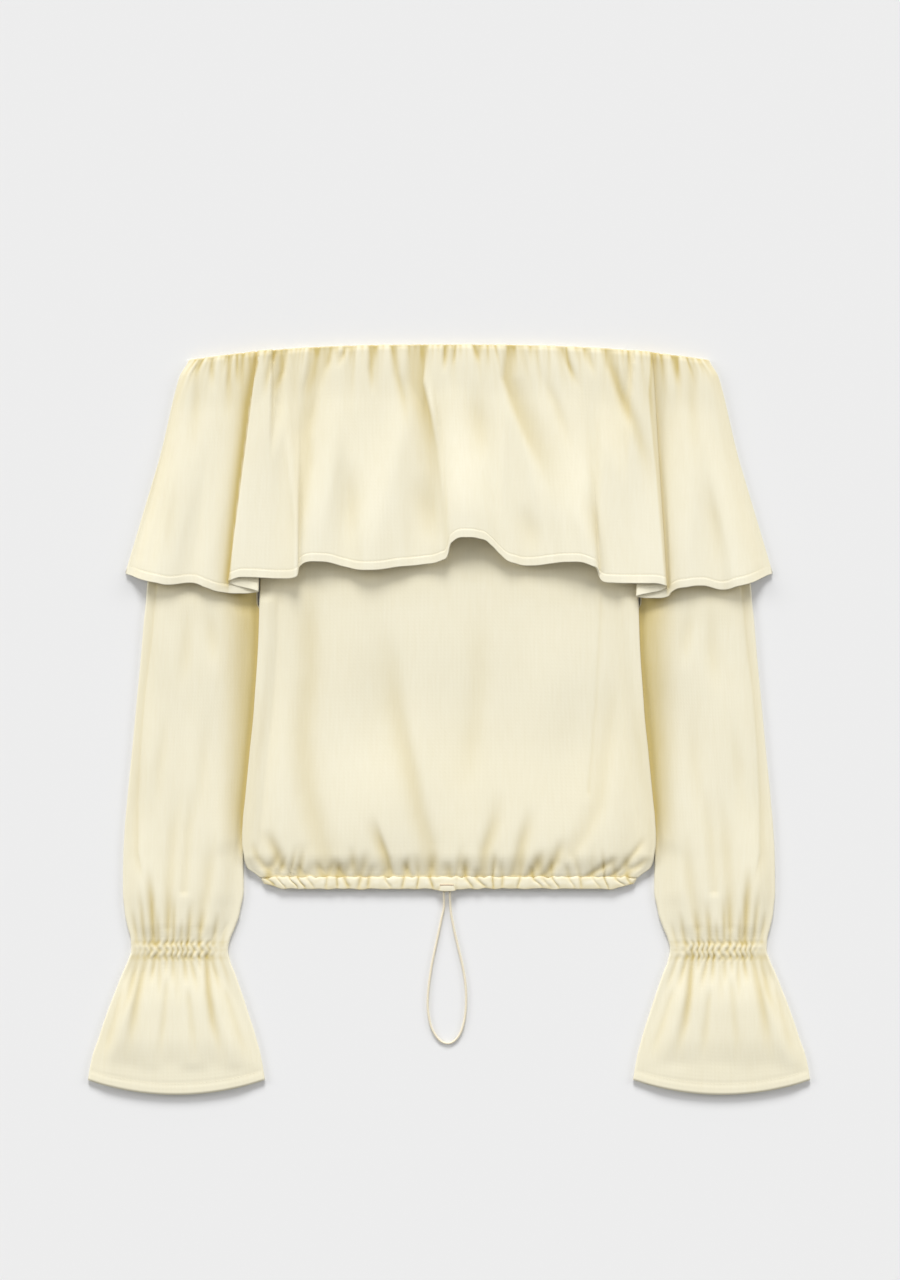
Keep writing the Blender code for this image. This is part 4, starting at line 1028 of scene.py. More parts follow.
@dataclass
class FrontRuffle:
    """Deep gathered ruffle over the front, with a doubled-back fold at each side."""

    cell: float = 0.0015
    base_cell: float = 0.002
    rows: int = 80
    hem_rows: int = 18
    hem_start: float = 0.945
    gather_depth: float = 0.0010
    gather_width: float = 0.0013
    small_gather: float = 0.6
    hem_depth: float = 0.0072
    flat_length: float = 0.205
    fullness: float = 0.0028

    def _columns(self) -> tuple[Array, ...]:
        """Give the waves' columns at close places along the hem."""
        waves = LEFT_WAVES + LEFT_FOLD + MIDDLE_WAVES + RIGHT_FOLD + RIGHT_WAVES
        steps = [math.hypot(b.hem_x - a.hem_x, b.hem_y - a.hem_y) for a, b in zip(waves, waves[1:])]
        keys = np.concatenate([[0.0], np.cumsum(steps)])
        places = []
        for start, step in zip(keys, steps):
            cells = max(2, round(step / self.cell))
            places.extend(start + step * np.arange(cells) / cells)
        places = np.array(places + [keys[-1]])
        return tuple(curve_through(keys, np.array([getattr(wave, name) for wave in waves]), places)
                     for name in Wave._fields)

    def _base(self, x: Array, y: Array) -> Array:
        """Give the middle of the wall where the ruffle rests on what is under it.

        Args:
            x: Places across.
            y: Places along.

        Returns:
            The heights.
        """
        grid_x = np.arange(-0.300, 0.3001, self.base_cell)
        grid_y = np.arange(0.090, 0.3301, self.base_cell)
        gx, gy = np.meshgrid(grid_x, grid_y)
        outer = read_column(SLEEVE_RINGS, "outer", gy)
        over_body = np.abs(gx) <= ARMHOLE_X
        over_sleeve = np.abs(gx) <= outer
        stack = np.where(over_body, front_panel_height(gx, gy),
                         np.where(over_sleeve, sleeve_top_height(np.abs(gx), gy), WALL / 2.0)) + WALL / 2.0
        highest = stack.copy()
        for aside in range(-4, 5):
            for along in (-2, -1, 0, 1, 2):
                highest = np.maximum(highest, np.roll(np.roll(stack, aside, axis=1), along, axis=0))
        weights = np.exp(-(np.arange(-4, 5) / 2.2) ** 2)
        weights /= weights.sum()
        for axis in (0, 1):
            highest = sum(w * np.roll(highest, i - 4, axis=axis) for i, w in enumerate(weights))
        fx = np.clip((x - grid_x[0]) / self.base_cell, 0, len(grid_x) - 1.001)
        fy = np.clip((y - grid_y[0]) / self.base_cell, 0, len(grid_y) - 1.001)
        ix = fx.astype(int)
        iy = fy.astype(int)
        px = fx - ix
        py = fy - iy
        low = blend(highest[iy, ix], highest[iy, ix + 1], px)
        high = blend(highest[iy + 1, ix], highest[iy + 1, ix + 1], px)
        return blend(low, high, py) + SEAM_GAP + WALL / 2.0

    def grid(self) -> ClothGrid:
        """Shape the ruffle."""
        hem_x, hem_y, lift, neck_x, rise = self._columns()
        upper = np.linspace(0.0, 1.0, self.rows, endpoint=False) ** 1.12 * self.hem_start
        down = np.concatenate([upper, np.linspace(self.hem_start, 1.0, self.hem_rows)])[:, None]
        x = ruffle_width(neck_x, hem_x, down)
        y = blend(neckline(neck_x), hem_y, down)
        pleated = rise < 0.02
        risen = np.where(pleated, 1.0, ease(down / np.maximum(rise, 0.02), 0.0, 1.0) ** 2)
        base = self._base(x, y)
        neck = 0.0012 * ease(down, 0.0, 0.02) * (1.0 - ease(down, 0.05, 0.25))
        puff = self.fullness * ramp(down, 0.0, 1.0) ** 0.8
        z = base + lift * risen + neck + puff
        creases, crease_shade = crease_field(x, y, RUFFLE_CREASES)
        gathers, gather_shade = self._gathers(neck_x, down)
        sides = ease(NECK_HALF - np.abs(neck_x) * np.ones_like(down), 0.0, 0.006)
        seam = 1.0 - self.hem_depth / (y[0] - y[-1])
        hem = 0.0002 * ease(down, seam, seam + 0.004) - 0.00015 * np.exp(-((down - seam) / 0.004) ** 2)
        ripple = 0.0007 * soft_noise(neck_x + 0.0 * down, 0.2 * y, 0.030, 11) * ease(down, 0.1, 0.4)
        z = z + (creases + gathers + ripple) * sides + hem
        edge = 1.0 - ease(NECK_HALF - np.abs(neck_x) * np.ones_like(down), 0.0, 0.010)
        z = blend(z, np.minimum(z, blend(z, LAYER + WALL / 2.0, edge)), edge)
        z = np.maximum(z, base * (1.0 - edge) + edge * (LAYER + WALL / 2.0) - 0.0002)
        y = y - 0.0006 * gathers / -self.gather_depth * (1.0 - ease(down, 0.0, 0.03))
        band = ease(down, seam, seam + 0.004)
        ticks = 0.03 * soft_noise(neck_x, 0.0 * down, 0.006, 17) * band
        # Painted shade along the hem's seam groove and at the neckline's edge
        seam_and_edge_shade = 0.04 * np.exp(-((down - seam) / 0.003) ** 2) + 0.14 * np.exp(-(down / 0.014) ** 2)
        # The ruffle's painted shade from creases, gathers, seam and neckline edge, easing off towards the hem; the
        # hem band is a little lighter and mottled
        shade = 0.09 - 0.07 * ease(down, 0.30, 0.8) + crease_shade + gather_shade - 0.02 * band + seam_and_edge_shade + ticks
        points = np.stack([x, y, z], axis=-1)
        return ClothGrid("ruffle_front_cloth", points, np.clip(shade, 0.0, 0.9), WALL)

    def seam_path(self, grid: ClothGrid) -> Array:
        """Give the line of its hem's stitches on the cloth's upper side.

        Args:
            grid: The shaped ruffle.

        Returns:
            Points along the line.
        """
        points = grid.points
        wanted = points[-1, :, 1] + self.hem_depth
        row = np.argmax(points[:, :, 1] <= wanted[None, :], axis=0)
        columns = np.arange(points.shape[1])
        below = points[row, columns]
        above = points[row - 1, columns]
        part = ((above[:, 1] - wanted) / (above[:, 1] - below[:, 1]))[:, None]
        path = blend(above, below, part)
        path[:, 2] += WALL / 2.0
        return path

    def _gathers(self, neck_x: Array, down: Array) -> tuple[Array, Array]:
        """Pucker the cloth along the neckline.

        Args:
            neck_x: Each column's place along the neckline.
            down: Each row's part of the way down.

        Returns:
            Height and shade of the gathers.
        """
        draw = np.random.default_rng(5)
        shape = np.broadcast(neck_x, down).shape
        height = np.zeros(shape)
        shade = np.zeros(shape)
        small = [(first + second) / 2.0 for first, second in zip(NECK_GATHERS, NECK_GATHERS[1:])]
        sizes = [(plan_x, 1.0) for plan_x in NECK_GATHERS] + [(plan_x, self.small_gather) for plan_x in small]
        for plan_x, size in sizes:
            centre = (plan_x + draw.uniform(-1.0, 1.0) - PLAN_X) * PLAN_UNIT
            reach = draw.uniform(0.10, 0.42)
            depth = self.gather_depth * size * draw.uniform(0.5, 1.3)
            width = self.gather_width * draw.uniform(0.7, 1.4)
            drift = draw.uniform(-0.020, 0.020)
            long_fade = np.exp(-(down / (0.5 * reach)) ** 2)
            strength = draw.uniform(0.15, 0.45)
            short_fade = np.exp(-(down / draw.uniform(0.02, 0.08)) ** 2)
            aside = (neck_x - centre - drift * down) / (width * (1.0 + 6.0 * down))
            form = np.exp(-aside ** 2)
            height -= depth * form * long_fade
            shade += form * (0.20 * long_fade + strength * short_fade) * depth / self.gather_depth
        return height, shade

    def build(self, grid: ClothGrid, cloth: bpy.types.Material) -> bpy.types.Object:
        """Make the ruffle.

        Args:
            grid: Its shaped sheet.
            cloth: Its cloth.

        Returns:
            The piece.
        """
        piece = grid.build(cloth)
        declare(piece, "ruffle_front")
        LOG.info("ruffle_front_cloth: hem %.3f m, %.4f square metres", grid.hem_length(), grid.area())
        return piece


@dataclass
class BackRuffle:
    """The ruffle behind, flat on the surface."""

    rows: int = 44
    columns: int = 150
    hem_y: float = 0.1225

    def build(self, cloth: bpy.types.Material) -> bpy.types.Object:
        """Make the ruffle.

        Args:
            cloth: Its cloth.

        Returns:
            The piece.
        """
        down = np.linspace(0.0, 1.0, self.rows)[:, None]
        part = np.linspace(-1.0, 1.0, self.columns)[None, :]
        neck_x = part * (0.2206 + WALL / 2.0)
        hem_x = part * (0.2744 + WALL / 2.0)
        hem_y = self.hem_y - 0.0022 * np.cos(part * math.pi * 5.0)
        x = ruffle_width(neck_x, hem_x, down)
        y = blend(neckline(neck_x), hem_y, down)
        z = np.full(x.shape, WALL / 2.0)
        grid = ClothGrid("ruffle_back_cloth", np.stack([x, y, z], axis=-1), np.full(x.shape, 0.05), WALL)
        piece = grid.build(cloth)
        declare(piece, "ruffle_back")
        LOG.info("ruffle_back_cloth: %.4f square metres", grid.area())
        return piece


@dataclass
class BodyPanel:
    """Front or back of the body."""

    name: str
    node: str
    slot: str
    front: bool
    columns: int
    rows: int

    def _rows(self) -> Array:
        """Give the heights of the rows, closer together in the part that shows."""
        top = NECK_TOP - NECK_INSET
        hidden = np.linspace(top, 0.160, max(6, self.rows // 8), endpoint=False)
        shown = np.linspace(0.160, PANEL_FOOT_Y, self.rows)
        return np.concatenate([hidden, shown])

    def grid(self) -> ClothGrid:
        """Shape the panel."""
        heights = self._rows()[:, None]
        across = np.linspace(-1.0, 1.0, self.columns)[None, :]
        across = np.sign(across) * np.abs(across) ** 0.94
        x = across * body_half_width(heights)
        curve = ramp(heights, STEP_TOP_Y, NECK_TOP - NECK_INSET)
        y = heights + curve * (neckline(x) - NECK_TOP)
        if not self.front:
            z = back_panel_height(x, y)
            return ClothGrid(self.name, np.stack([x, y, z], axis=-1), np.full(x.shape, 0.06), WALL)
        inset = body_half_width(y) - np.abs(x)
        base = front_panel_height(x, y)
        creases, crease_shade = crease_field(x, y, BODY_CREASES, from_foot=True)
        puckers, pucker_shade = self._puckers(x, y)
        swell = 0.0012 * soft_noise(x, 0.30 * y, 0.060, 3) * ease(inset, 0.004, 0.030) * ease(-y, -0.11, 0.03)
        sides = ease(inset, 0.001, 0.012)
        above_seam = y - CASING_TOP_Y
        bulge = 0.0018 * ease(above_seam, 0.0, 0.022) * (1.0 - ease(above_seam, 0.03, 0.16))
        tuck = -0.0008 * (1.0 - ease(above_seam, 0.0, 0.004))
        relief = (creases + puckers + bulge + step_ease(y)) * sides + swell + tuck * sides
        floor = back_panel_height(x, y) + WALL + LEAST_GAP
        z = np.maximum(base + relief, floor + 0.10 * (base + relief - floor))
        # Painted shade along both side edges of the body, from under the ruffle down to near the hem
        painted_side_shade = (1.0 - ease(inset, 0.006, 0.014)) * ease(-y, -0.050, 0.020) * (1.0 - ease(-y, 0.105, 0.130))
        # Painted shade in the creases and puckers, under the ruffle's hem and along the sides
        shade = 0.08 + crease_shade + pucker_shade + ruffle_shadow(x, y) + 0.14 * painted_side_shade
        return ClothGrid(self.name, np.stack([x, y, z], axis=-1), np.clip(shade, 0.0, 0.9), WALL)

    def _puckers(self, x: Array, y: Array) -> tuple[Array, Array]:
        """Gather the cloth above the hem's casing.

        Args:
            x: Places across.
            y: Places along.

        Returns:
            Height and shade of the gathers.
        """
        draw = np.random.default_rng(21)
        height = np.zeros(x.shape)
        shade = np.zeros(x.shape)
        up = y - CASING_TOP_Y
        for gather in hem_gathers():
            reach = draw.uniform(0.010, 0.034)
            depth = gather.depth * draw.uniform(1.0, 1.9)
            width = gather.width * draw.uniform(0.9, 1.5)
            lean = draw.uniform(-0.22, 0.12) + 1.6 * gather.x
            fade = 1.0 - ease(up, 0.25 * reach, reach)
            form = np.exp(-((x - gather.x + lean * up) / (width * (1.0 + 45.0 * up))) ** 2) * fade
            # Painted shade in a small spot where each gather pinches into the seam
            spot = np.exp(-((x - gather.x) / 0.0011) ** 2 - (up / 0.0030) ** 2)
            height -= depth * form
            shade += (0.16 * form + 0.22 * spot) * depth / 0.0010
        return height, shade

    def build(self, grid: ClothGrid, cloth: bpy.types.Material) -> bpy.types.Object:
        """Make the panel.

        Args:
            grid: Its shaped sheet.
            cloth: Its cloth.

        Returns:
            The piece.
        """
        piece = grid.build(cloth)
        declare(piece, self.node)
        LOG.info("%s: %.4f square metres", self.name, grid.area())
        return piece


@dataclass
class Sleeve:
    """Long sleeve with a shirred wrist and a flared cuff."""

    side: Side
    top_columns: int = 118
    low_columns: int = 26
    rows: int = 250
    band_top: float = -0.1890
    band_foot: float = -0.2030
    cuff_seam: float = -0.2985

    def _heights(self) -> Array:
        """Give the heights of the rings, closest together at the wrist."""
        first = SLEEVE_RINGS[0].y
        last = SLEEVE_RINGS[-1].y
        keys = np.array([0.0, 0.12, 0.42, 0.72, 0.84, 1.0])
        places = np.array([-first, -0.150, 0.090, 0.176, 0.226, -last])
        return -np.interp(np.linspace(0.0, 1.0, self.rows), keys, places)

    def _shirring(self, x: Array, y: Array, inner: Array, outer: Array) -> tuple[Array, Array]:
        """Pucker the band of elastic at the wrist.

        Args:
            x: Distances from the middle of the blouse.
            y: Places along.
            inner: Inner end of each ring.
            outer: Outer end of each ring.

        Returns:
            Height and shade of the puckers.
        """
        band = ease(-y, -self.band_top - 0.004, -self.band_top + 0.002)
        band = band * (1.0 - ease(-y, -self.band_foot - 0.002, -self.band_foot + 0.004))
        lines = 0.0
        for line in (self.band_top, (self.band_top + self.band_foot) / 2.0, self.band_foot):
            lines = lines + np.exp(-((y - line) / 0.0010) ** 2)
        sides = ease(x - inner, 0.010, 0.018) * ease(outer - x, 0.009, 0.016)
        waver = 0.0010 * np.sin(2.0 * math.pi * (y - self.band_top) / 0.0095)
        warp = 0.0016 * np.sin(2.0 * math.pi * x / 0.037 + self.side.value)
        pattern = np.cos(2.0 * math.pi * (x + waver + warp) / 0.0052)
        height = 0.00055 * pattern * band * (0.3 + 0.7 * sides) - 0.00035 * lines * band
        # Painted shade in the puckers' hollows and along the elastic's lines
        shade = (0.15 * (1.0 - pattern) * (0.25 + 0.75 * sides) + 0.10 * lines + 0.08) * band
        return height, shade

    def grid(self) -> ClothGrid:
        """Shape the sleeve."""
        heights = self._heights()[:, None]
        inner = read_column(SLEEVE_RINGS, "inner", heights)
        outer = read_column(SLEEVE_RINGS, "outer", heights)
        sag = read_column(SLEEVE_RINGS, "sag", heights)
        radius = (WALL + INNER_GAP) / 2.0
        reach = radius + WALL / 2.0
        low_part = np.linspace(0.0, 1.0, self.low_columns)[None, :]
        top_part = np.linspace(1.0, 0.0, self.top_columns)[None, :]
        turns = np.radians(np.array([-67.5, -45.0, -22.5, 0.0, 22.5, 45.0, 67.5]))[None, :]
        left = inner + reach
        right = outer - reach
        ones = np.ones_like(heights)
        x = np.concatenate([blend(left, right, low_part), right + radius * np.cos(turns) * ones,
                            blend(left, right, top_part), left - radius * np.cos(turns) * ones], axis=1)
        curve = ramp(heights, 0.180, SLEEVE_RINGS[0].y)
        middle = (inner + outer) / 2.0
        across = (x - middle) / ((outer - inner) / 2.0)
        y = heights - sag * (1.0 - across ** 2) + curve * (neckline(x) - neckline(middle))
        low_z = under_step(heights) + WALL / 2.0
        arc_z = low_z + radius + radius * np.sin(turns)
        is_top = np.zeros(x.shape, dtype=bool)
        start = self.low_columns + turns.shape[1]
        is_top[:, start:start + self.top_columns] = True
        z = np.concatenate([low_z + 0.0 * low_part, arc_z,
                            low_z + 2.0 * radius + 0.0 * top_part, arc_z[:, ::-1]], axis=1)
        air = read_column(SLEEVE_RINGS, "air", heights)
        shape = ease(x - inner, 0.004, 0.026) * ease(outer - x, 0.001, 0.018)
        creases, crease_shade = crease_field(-x, y, ABOVE_WRIST, from_foot=True)
        lower, lower_shade = crease_field(-x, y, CUFF_CREASES + SLEEVE_CREASES)
        creases = creases + lower
        crease_shade = crease_shade + lower_shade
        shirring, shirr_shade = self._shirring(x, y, inner, outer)
        sides = ease(x - inner, 0.001, 0.008) * ease(outer - x, 0.001, 0.008)
        swell = 0.0006 * soft_noise(x, 0.35 * y, 0.040, 7 + int(self.side.value)) * ease(-y, -0.12, -0.02)
        calm_cuff = 1.0 - ease(-y, 0.290, 0.300)
        below_seam = self.cuff_seam - heights
        hem = 0.0002 * ease(below_seam, 0.0, 0.0010) - 0.0003 * np.exp(-(below_seam / 0.0009) ** 2)
        bulge = 0.0016 * ease(-y, 0.060, 0.160) * (1.0 - ease(-y, 0.172, 0.190))
        flare = 0.0016 * ease(-y, 0.205, 0.240) * (1.0 - ease(-y, 0.270, 0.300))
        loft = (air + bulge + flare + step_ease(y)) * shape
        relief = loft + (creases + shirring) * sides + swell * sides * calm_cuff + hem
        top_z = z + np.maximum(relief, 0.12 * relief - 0.0002)
        z = np.where(is_top, top_z, z)
        from_body = np.maximum(x - body_half_width(y), 0.0)
        # Painted shadow that the body throws on the sleeve's inner part, fading out towards the cuff
        painted_body_shadow = 0.52 * (1.0 - ease(x, 0.172, 0.200)) + 0.26 * np.exp(-from_body / 0.006)
        painted_body_shadow = painted_body_shadow * (1.0 - ease(-y, 0.070, 0.130))
        signed = x * self.side.value
        shade = 0.08 + crease_shade + shirr_shade + painted_body_shadow + ruffle_shadow(signed, y)
        shade = np.clip(np.where(is_top, shade, 0.10), 0.0, 0.9)
        points = np.stack([signed, y, z], axis=-1)
        name = f"sleeve_{self.side.name.lower()}_cloth"
        if self.side is Side.LEFT:
            points, shade, is_top = points[:, ::-1], shade[:, ::-1], is_top[:, ::-1]
        return ClothGrid(name, points, shade, WALL, closed=True, on_top=is_top)

    def seam_path(self, grid: ClothGrid) -> Array:
        """Give the line of the cuff's stitches on the cloth's upper side.

        Args:
            grid: The shaped sleeve.

        Returns:
            Points along the line.
        """
        heights = self._heights()
        row = int(np.argmin(np.abs(heights - self.cuff_seam)))
        path = grid.points[row][grid.on_top[row]].copy()
        path[:, 2] += WALL / 2.0
        return path[3:-3]

    def build(self, grid: ClothGrid, cloth: bpy.types.Material) -> bpy.types.Object:
        """Make the sleeve.

        Args:
            grid: Its shaped sheet.
            cloth: Its cloth.

        Returns:
            The piece.
        """
        piece = grid.build(cloth)
        declare(piece, f"sleeve_{self.side.name.lower()}")
        LOG.info("%s: %.4f square metres", grid.name, grid.area())
        return piece


@dataclass
class HemCasing:
    """Folded casing round the hem, gathered by the cord in it."""

    top_columns: int = 560
    low_columns: int = 60
    rows: int = 16
    lap: float = 0.0013

    def grid(self) -> ClothGrid:
        """Shape the casing."""
        down = np.linspace(0.0, 1.0, self.rows)[:, None]
        half = blend(CASING_HALF_TOP, CASING_HALF_FOOT, down)
        radius = (CASING_WALL + INNER_GAP) / 2.0
        reach = radius + CASING_WALL / 2.0
        edge = half - reach
        low_part = np.linspace(-1.0, 1.0, self.low_columns)[None, :]
        top_part = np.linspace(1.0, -1.0, self.top_columns)[None, :]
        turns = np.radians(np.array([-60.0, -30.0, 0.0, 30.0, 60.0]))[None, :]
        ones = np.ones_like(down)
        x = np.concatenate([edge * low_part, edge + radius * np.cos(turns) * ones,
                            edge * top_part, -edge - radius * np.cos(turns) * ones], axis=1)
        corner = 0.0048 * ease(np.abs(x), 0.138, 0.160)
        bulge = 0.0020 * np.exp(-((x - TAB_X) / 0.010) ** 2)
        wavy = 0.0005 * soft_noise(x, 0.0 * x, 0.016, 31)
        foot = CASING_FOOT_Y + corner - bulge + wavy * ease(0.155 - np.abs(x), 0.0, 0.02)
        low_z = CASING_WALL / 2.0
        arc_z = (low_z + radius + radius * np.sin(turns)) * ones
        start = self.low_columns + turns.shape[1]
        is_top = np.zeros(x.shape, dtype=bool)
        is_top[:, start:start + self.top_columns] = True
        z = np.concatenate([np.full((self.rows, self.low_columns), low_z), arc_z,
                            np.full((self.rows, self.top_columns), low_z + 2.0 * radius), arc_z[:, ::-1]], axis=1)
        inset = half - np.abs(x)
        scallop = 1.0 + 0.45 * soft_noise(x, 0.0 * x, 0.009, 37)
        lap = np.where(is_top, self.lap * scallop * ease(inset, 0.003, 0.012), 0.0)
        y = blend(CASING_TOP_Y + lap, foot, down)
        loft = 0.0007 * ease(inset, 0.002, 0.020)
        calm = ease(np.abs(x - TAB_X), 0.006, 0.012)
        sides = ease(inset, 0.002, 0.010)
        gathers, gather_shade = self._gathers(x, down)
        roll = 0.0003 * np.sin(math.pi * down)
        seam = -0.0004 * np.exp(-((down - 0.02) / 0.06) ** 2)
        relief = loft + gathers * calm * sides + roll + seam
        z = np.where(is_top, z + np.maximum(relief, -0.0002), z)
        # Painted shade at the casing's ends
        ends = 0.20 * ease(np.abs(x), 0.146, 0.158)
        uneven = 0.08 * soft_noise(x, 2.0 * y, 0.010, 41)
        # Painted shade along the casing's top seam
        seam_and_edge_shade = 0.10 * np.exp(-(down / 0.10) ** 2)
        foot_shade = 0.20 * ease(down, 0.50, 1.0)
        # Painted shade on the casing's top in its gathers, along its seam, towards its foot and at its ends, and a
        # flat painted shade on its rounded ends and underside
        shade = np.where(is_top, 0.12 + gather_shade * calm + seam_and_edge_shade + foot_shade + ends + uneven, 0.30)
        points = np.stack([x, y, z], axis=-1)
        return ClothGrid("hem_casing_cloth", points, np.clip(shade, 0.0, 0.9), CASING_WALL, True, is_top)

    def _gathers(self, x: Array, down: Array) -> tuple[Array, Array]:
        """Gather the casing along its cord.

        Args:
            x: Places across.
            down: Each row's part of the way down.

        Returns:
            Height and shade of the gathers.
        """
        height = np.zeros(x.shape)
        shade = np.zeros(x.shape)
        for gather in hem_gathers():
            bend = gather.lean * (1.0 + np.sin(math.pi * (down - 0.5)))
            form = np.exp(-((x - gather.x - bend) / gather.width) ** 2) * (1.0 - 0.5 * ease(down, 0.6, 1.0))
            height -= gather.depth * form
            shade += 0.34 * form * gather.depth / 0.0010
        return height, shade

    def build(self, grid: ClothGrid, cloth: bpy.types.Material, pieces: list[bpy.types.Object]) -> bpy.types.Object:
        """Make the casing.

        Args:
            grid: Its shaped sheet.
            cloth: Its cloth.
            pieces: Small pieces sewn on it; not used.

        Returns:
            The piece.
        """
        piece = grid.build(cloth)
        declare(piece, "hem_casing")
        LOG.info("hem_casing_cloth: %.4f square metres", grid.area())
        return piece


@dataclass
class CordTab:
    """Small stitched tab on the casing, which the cord comes out from under."""

    top_y: float = -0.1402
    foot_y: float = -0.1450
    half_top: float = 0.0057
    half_foot: float = 0.0071
    middle_z: float = 0.0059

    def build(self, cloth: bpy.types.Material) -> bpy.types.Object:
        """Make the tab.

        Args:
            cloth: Its cloth.

        Returns:
            The piece.
        """
        down = np.linspace(0.0, 1.0, 14)[:, None]
        part = np.linspace(-1.0, 1.0, 30)[None, :]
        half = blend(self.half_top, self.half_foot, down)
        x = TAB_X + part * half
        y = blend(self.top_y, self.foot_y, down) - 0.0006 * down * (1.0 - part ** 2)
        crown = 0.00025 * (1.0 - part ** 2) * np.sin(math.pi * down)
        z = self.middle_z + crown
        # Painted shade along the tab's sides, and a painted shadow along its foot where the cord's channel lies
        tab_edge_shade = np.exp(-((1.0 - np.abs(part)) / 0.10) ** 2)
        shade = np.clip(0.10 + 0.25 * tab_edge_shade + 0.25 * np.exp(-((down - 1.0) / 0.12) ** 2), 0.0, 0.95)
        grid = ClothGrid("cord_tab_cloth", np.stack([x, y, z * np.ones_like(x)], axis=-1), shade, 0.0010)
        piece = grid.build(cloth)
        declare(piece, "cord_tab")
        LOG.info("cord_tab_cloth")
        return piece

    def seam_shadow_path(self) -> Array:
        """Give the line of the close brown stitches over the tab's top edge, whose colour paints the shadow of its
        seam.
        """
        x = TAB_X + np.linspace(-1.18, 1.18, 12) * self.half_top
        return np.stack([x, np.full(x.shape, self.top_y), np.full(x.shape, self.middle_z + 0.0005)], axis=1)


@dataclass
class Drawcord:
    """Thin two-ply cord that comes out under the tab as one loop."""

    diameter: float = 0.0020
    pitch: float = 0.0046
    sides: int = 14
    spacing: float = 0.0006
    steps: int = 24

    def _path(self) -> list[Vector]:
        """Give close points on a smooth curve through the route."""
        knots = [Vector(point) for point in CORD_ROUTE]
        fine = []
        for i in range(len(knots) - 1):
            before = knots[max(0, i - 1)]
            start = knots[i]
            end = knots[i + 1]
            beyond = knots[min(len(knots) - 1, i + 2)]
            for step in range(self.steps):
                t = step / self.steps
                fine.append(0.5 * (2.0 * start + (end - before) * t
                                   + (2.0 * before - 5.0 * start + 4.0 * end - beyond) * t ** 2
                                   + (3.0 * start - before - 3.0 * end + beyond) * t ** 3))
        fine.append(knots[-1])
        return fine

    def build(self, cord_finish: bpy.types.Material) -> bpy.types.Object:
        """Make the cord.

        Args:
            cord_finish: Its material.

        Returns:
            The piece.
        """
        fine = np.array([tuple(point) for point in self._path()])
        lengths = np.concatenate([[0.0], np.cumsum(np.linalg.norm(np.diff(fine, axis=0), axis=1))])
        count = round(lengths[-1] / self.spacing)
        places = np.linspace(0.0, lengths[-1], count + 1)
        path = np.stack([np.interp(places, lengths, fine[:, axis]) for axis in range(3)], axis=1)
        tangents = np.gradient(path, axis=0)
        tangents /= np.linalg.norm(tangents, axis=1)[:, None]
        aside = np.cross(tangents, np.array([0.0, 0.0, 1.0]))
        aside /= np.linalg.norm(aside, axis=1)[:, None]
        up = np.cross(aside, tangents)
        angles = np.linspace(0.0, 2.0 * math.pi, self.sides, endpoint=False)
        twist = 2.0 * math.pi * places / self.pitch
        radius = self.diameter / 2.0
        plies = 0.80 + 0.20 * np.abs(np.cos(angles[None, :] - twist[:, None]))
        rings = (path[:, None, :] + radius * plies[..., None] * (
            np.cos(angles)[None, :, None] * aside[:, None, :] + np.sin(angles)[None, :, None] * up[:, None, :]))
        rings[..., 2] = np.maximum(rings[..., 2], 0.0001)
        rows = count + 1
        points = rings.reshape(-1, 3).tolist()
        faces = []
        for row in range(rows - 1):
            for side in range(self.sides):
                after = (side + 1) % self.sides
                faces.append((row * self.sides + side, (row + 1) * self.sides + side,
                              (row + 1) * self.sides + after, row * self.sides + after))
        faces.append(tuple(range(self.sides)))
        faces.append(tuple(reversed(range((rows - 1) * self.sides, rows * self.sides))))
        piece = put_in_scene("drawcord_twisted", new_mesh("drawcord_twisted", points, faces, cord_finish))
        declare(piece, "drawcord")
        LOG.info("drawcord_twisted: %.3f m", lengths[-1])
        return piece


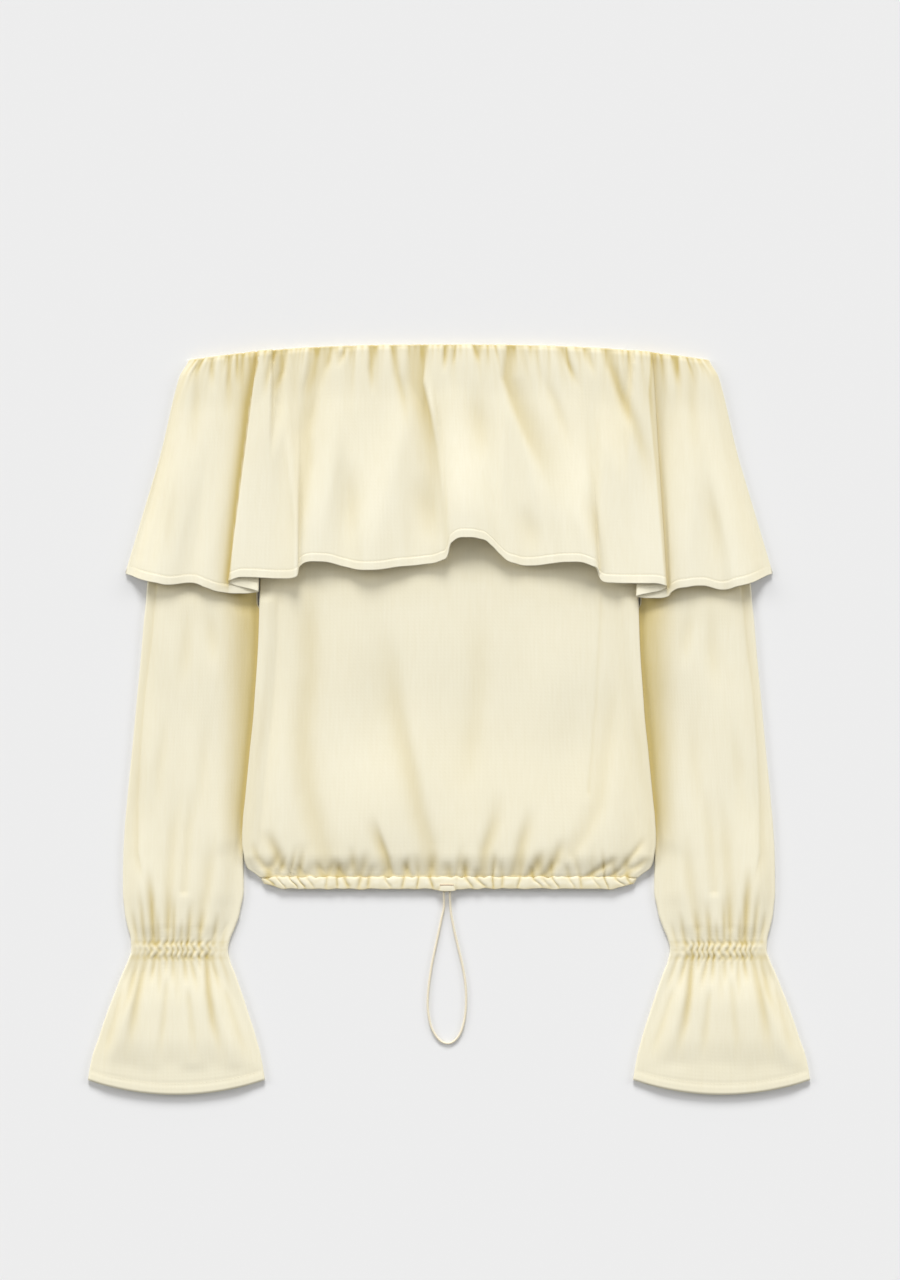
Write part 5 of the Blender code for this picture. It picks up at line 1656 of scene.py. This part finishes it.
@dataclass
class Studio:
    """Pale ground, soft lights and a camera that looks straight down."""

    ground_size: float = 8.0
    camera_x: float = 0.00085
    camera_y: float = 0.0676
    view_height: float = 1.088
    lens: float = 100.0
    sensor: float = 36.0
    key_strength: float = 2.75
    left_strength: float = 0.92
    right_strength: float = 0.76
    light_spread: float = 22.0
    room_strength: float = 0.41

    def build(self, finish: FloorFinish) -> None:
        """Make the ground, lights, world and camera.

        Args:
            finish: Finish of the ground.
        """
        half = self.ground_size / 2.0
        corners = [(-half, -half, 0.0), (half, -half, 0.0), (half, half, 0.0), (-half, half, 0.0)]
        ground = put_in_scene("ground", new_mesh("ground", corners, [(0, 1, 2, 3)], finish.build()))
        ground.location.z = -0.0003
        self._light("key_light", Vector((-0.1, 1.9, 1.05)), self.key_strength)
        self._light("left_light", Vector((-1.9, 0.7, 0.95)), self.left_strength)
        self._light("right_light", Vector((1.9, 0.7, 0.95)), self.right_strength)
        self._camera()
        self._world()
        LOG.info("studio")

    def _light(self, name: str, place: Vector, strength: float) -> None:
        """Add a far soft light that shines evenly on the blouse.

        Args:
            name: Its name.
            place: The direction that it shines from.
            strength: Its strength.
        """
        data = bpy.data.lights.new(name, "SUN")
        data.energy = strength
        data.angle = math.radians(self.light_spread)
        lamp = put_in_scene(name, data)
        lamp.location = place
        lamp.rotation_euler = (-place).to_track_quat("-Z", "Y").to_euler()

    def _camera(self) -> None:
        """Hold the camera over the blouse, with the neckline up."""
        data = bpy.data.cameras.new("camera")
        data.lens = self.lens
        data.sensor_width = self.sensor
        data.dof.use_dof = False
        camera = put_in_scene("camera", data)
        camera.location = (self.camera_x, self.camera_y, self.view_height * self.lens / self.sensor)
        bpy.context.scene.camera = camera

    def _world(self) -> None:
        """Fill the room with even light."""
        world = bpy.data.worlds.new("room")
        world.use_nodes = True
        background = world.node_tree.nodes["Background"]
        background.inputs["Color"].default_value = (1.0, 1.0, 1.0, 1.0)
        background.inputs["Strength"].default_value = self.room_strength
        bpy.context.scene.world = world
        bpy.context.scene.view_settings.view_transform = "Standard"


def main() -> None:
    """Dress the blouse piece by piece."""
    logging.basicConfig(level=logging.INFO)
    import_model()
    cloth = ClothFinish().build()
    hidden = ClothFinish(name="cream_cloth_inside").build()
    cord_finish = ThreadFinish("cream_cord_spun", Colour(0.88, 0.82, 0.66), Colour(0.70, 0.61, 0.44)).build()
    Studio().build(FloorFinish())
    Drawcord().build(cord_finish)
    BackRuffle().build(hidden)
    back = BodyPanel("back_panel_cloth", "back_panel", "cream_cloth_back", False, 90, 90)
    back.build(back.grid(), hidden)
    front = BodyPanel("front_panel_cloth", "front_panel", "cream_cloth", True, 230, 170)
    sleeves = [Sleeve(side) for side in Side]
    casing = HemCasing()
    ruffle = FrontRuffle()
    parts = [front, *sleeves, casing, ruffle]
    grids = [part.grid() for part in parts]
    relief = ReliefMap()
    for grid in grids:
        relief.add(grid)
    for grid, most in zip(grids, MOST_LOST_LIGHT):
        grid.darken(relief, LOST_LIGHT_GAIN, most)
    front.build(grids[0], cloth)
    for sleeve, grid in zip(sleeves, grids[1:3]):
        sleeve.build(grid, cloth)
    tab = CordTab()
    casing.build(grids[3], cloth, [tab.build(cloth)])
    ruffle.build(grids[4], cloth)
    thread = ThreadFinish("cream_thread", Colour(0.86, 0.81, 0.64), Colour(0.70, 0.62, 0.42)).build()
    StitchLine("ruffle_hem_stitches").build([ruffle.seam_path(grids[4])], thread)
    for sleeve, grid in zip(sleeves, grids[1:3]):
        StitchLine(f"cuff_{sleeve.side.name.lower()}_stitches").build([sleeve.seam_path(grid)], thread)
    # Brown stitches along the tab's top seam; their dark colour paints the seam's shadow line
    seam_shadow_finish = ThreadFinish("seam_shadow_thread", Colour(0.66, 0.50, 0.36), Colour(0.48, 0.34, 0.22)).build()
    StitchLine("seam_shadow_stitches", pitch=0.0009, length=0.0010, width=0.0011).build([tab.seam_shadow_path()], seam_shadow_finish)


if __name__ == "__main__":
    main()
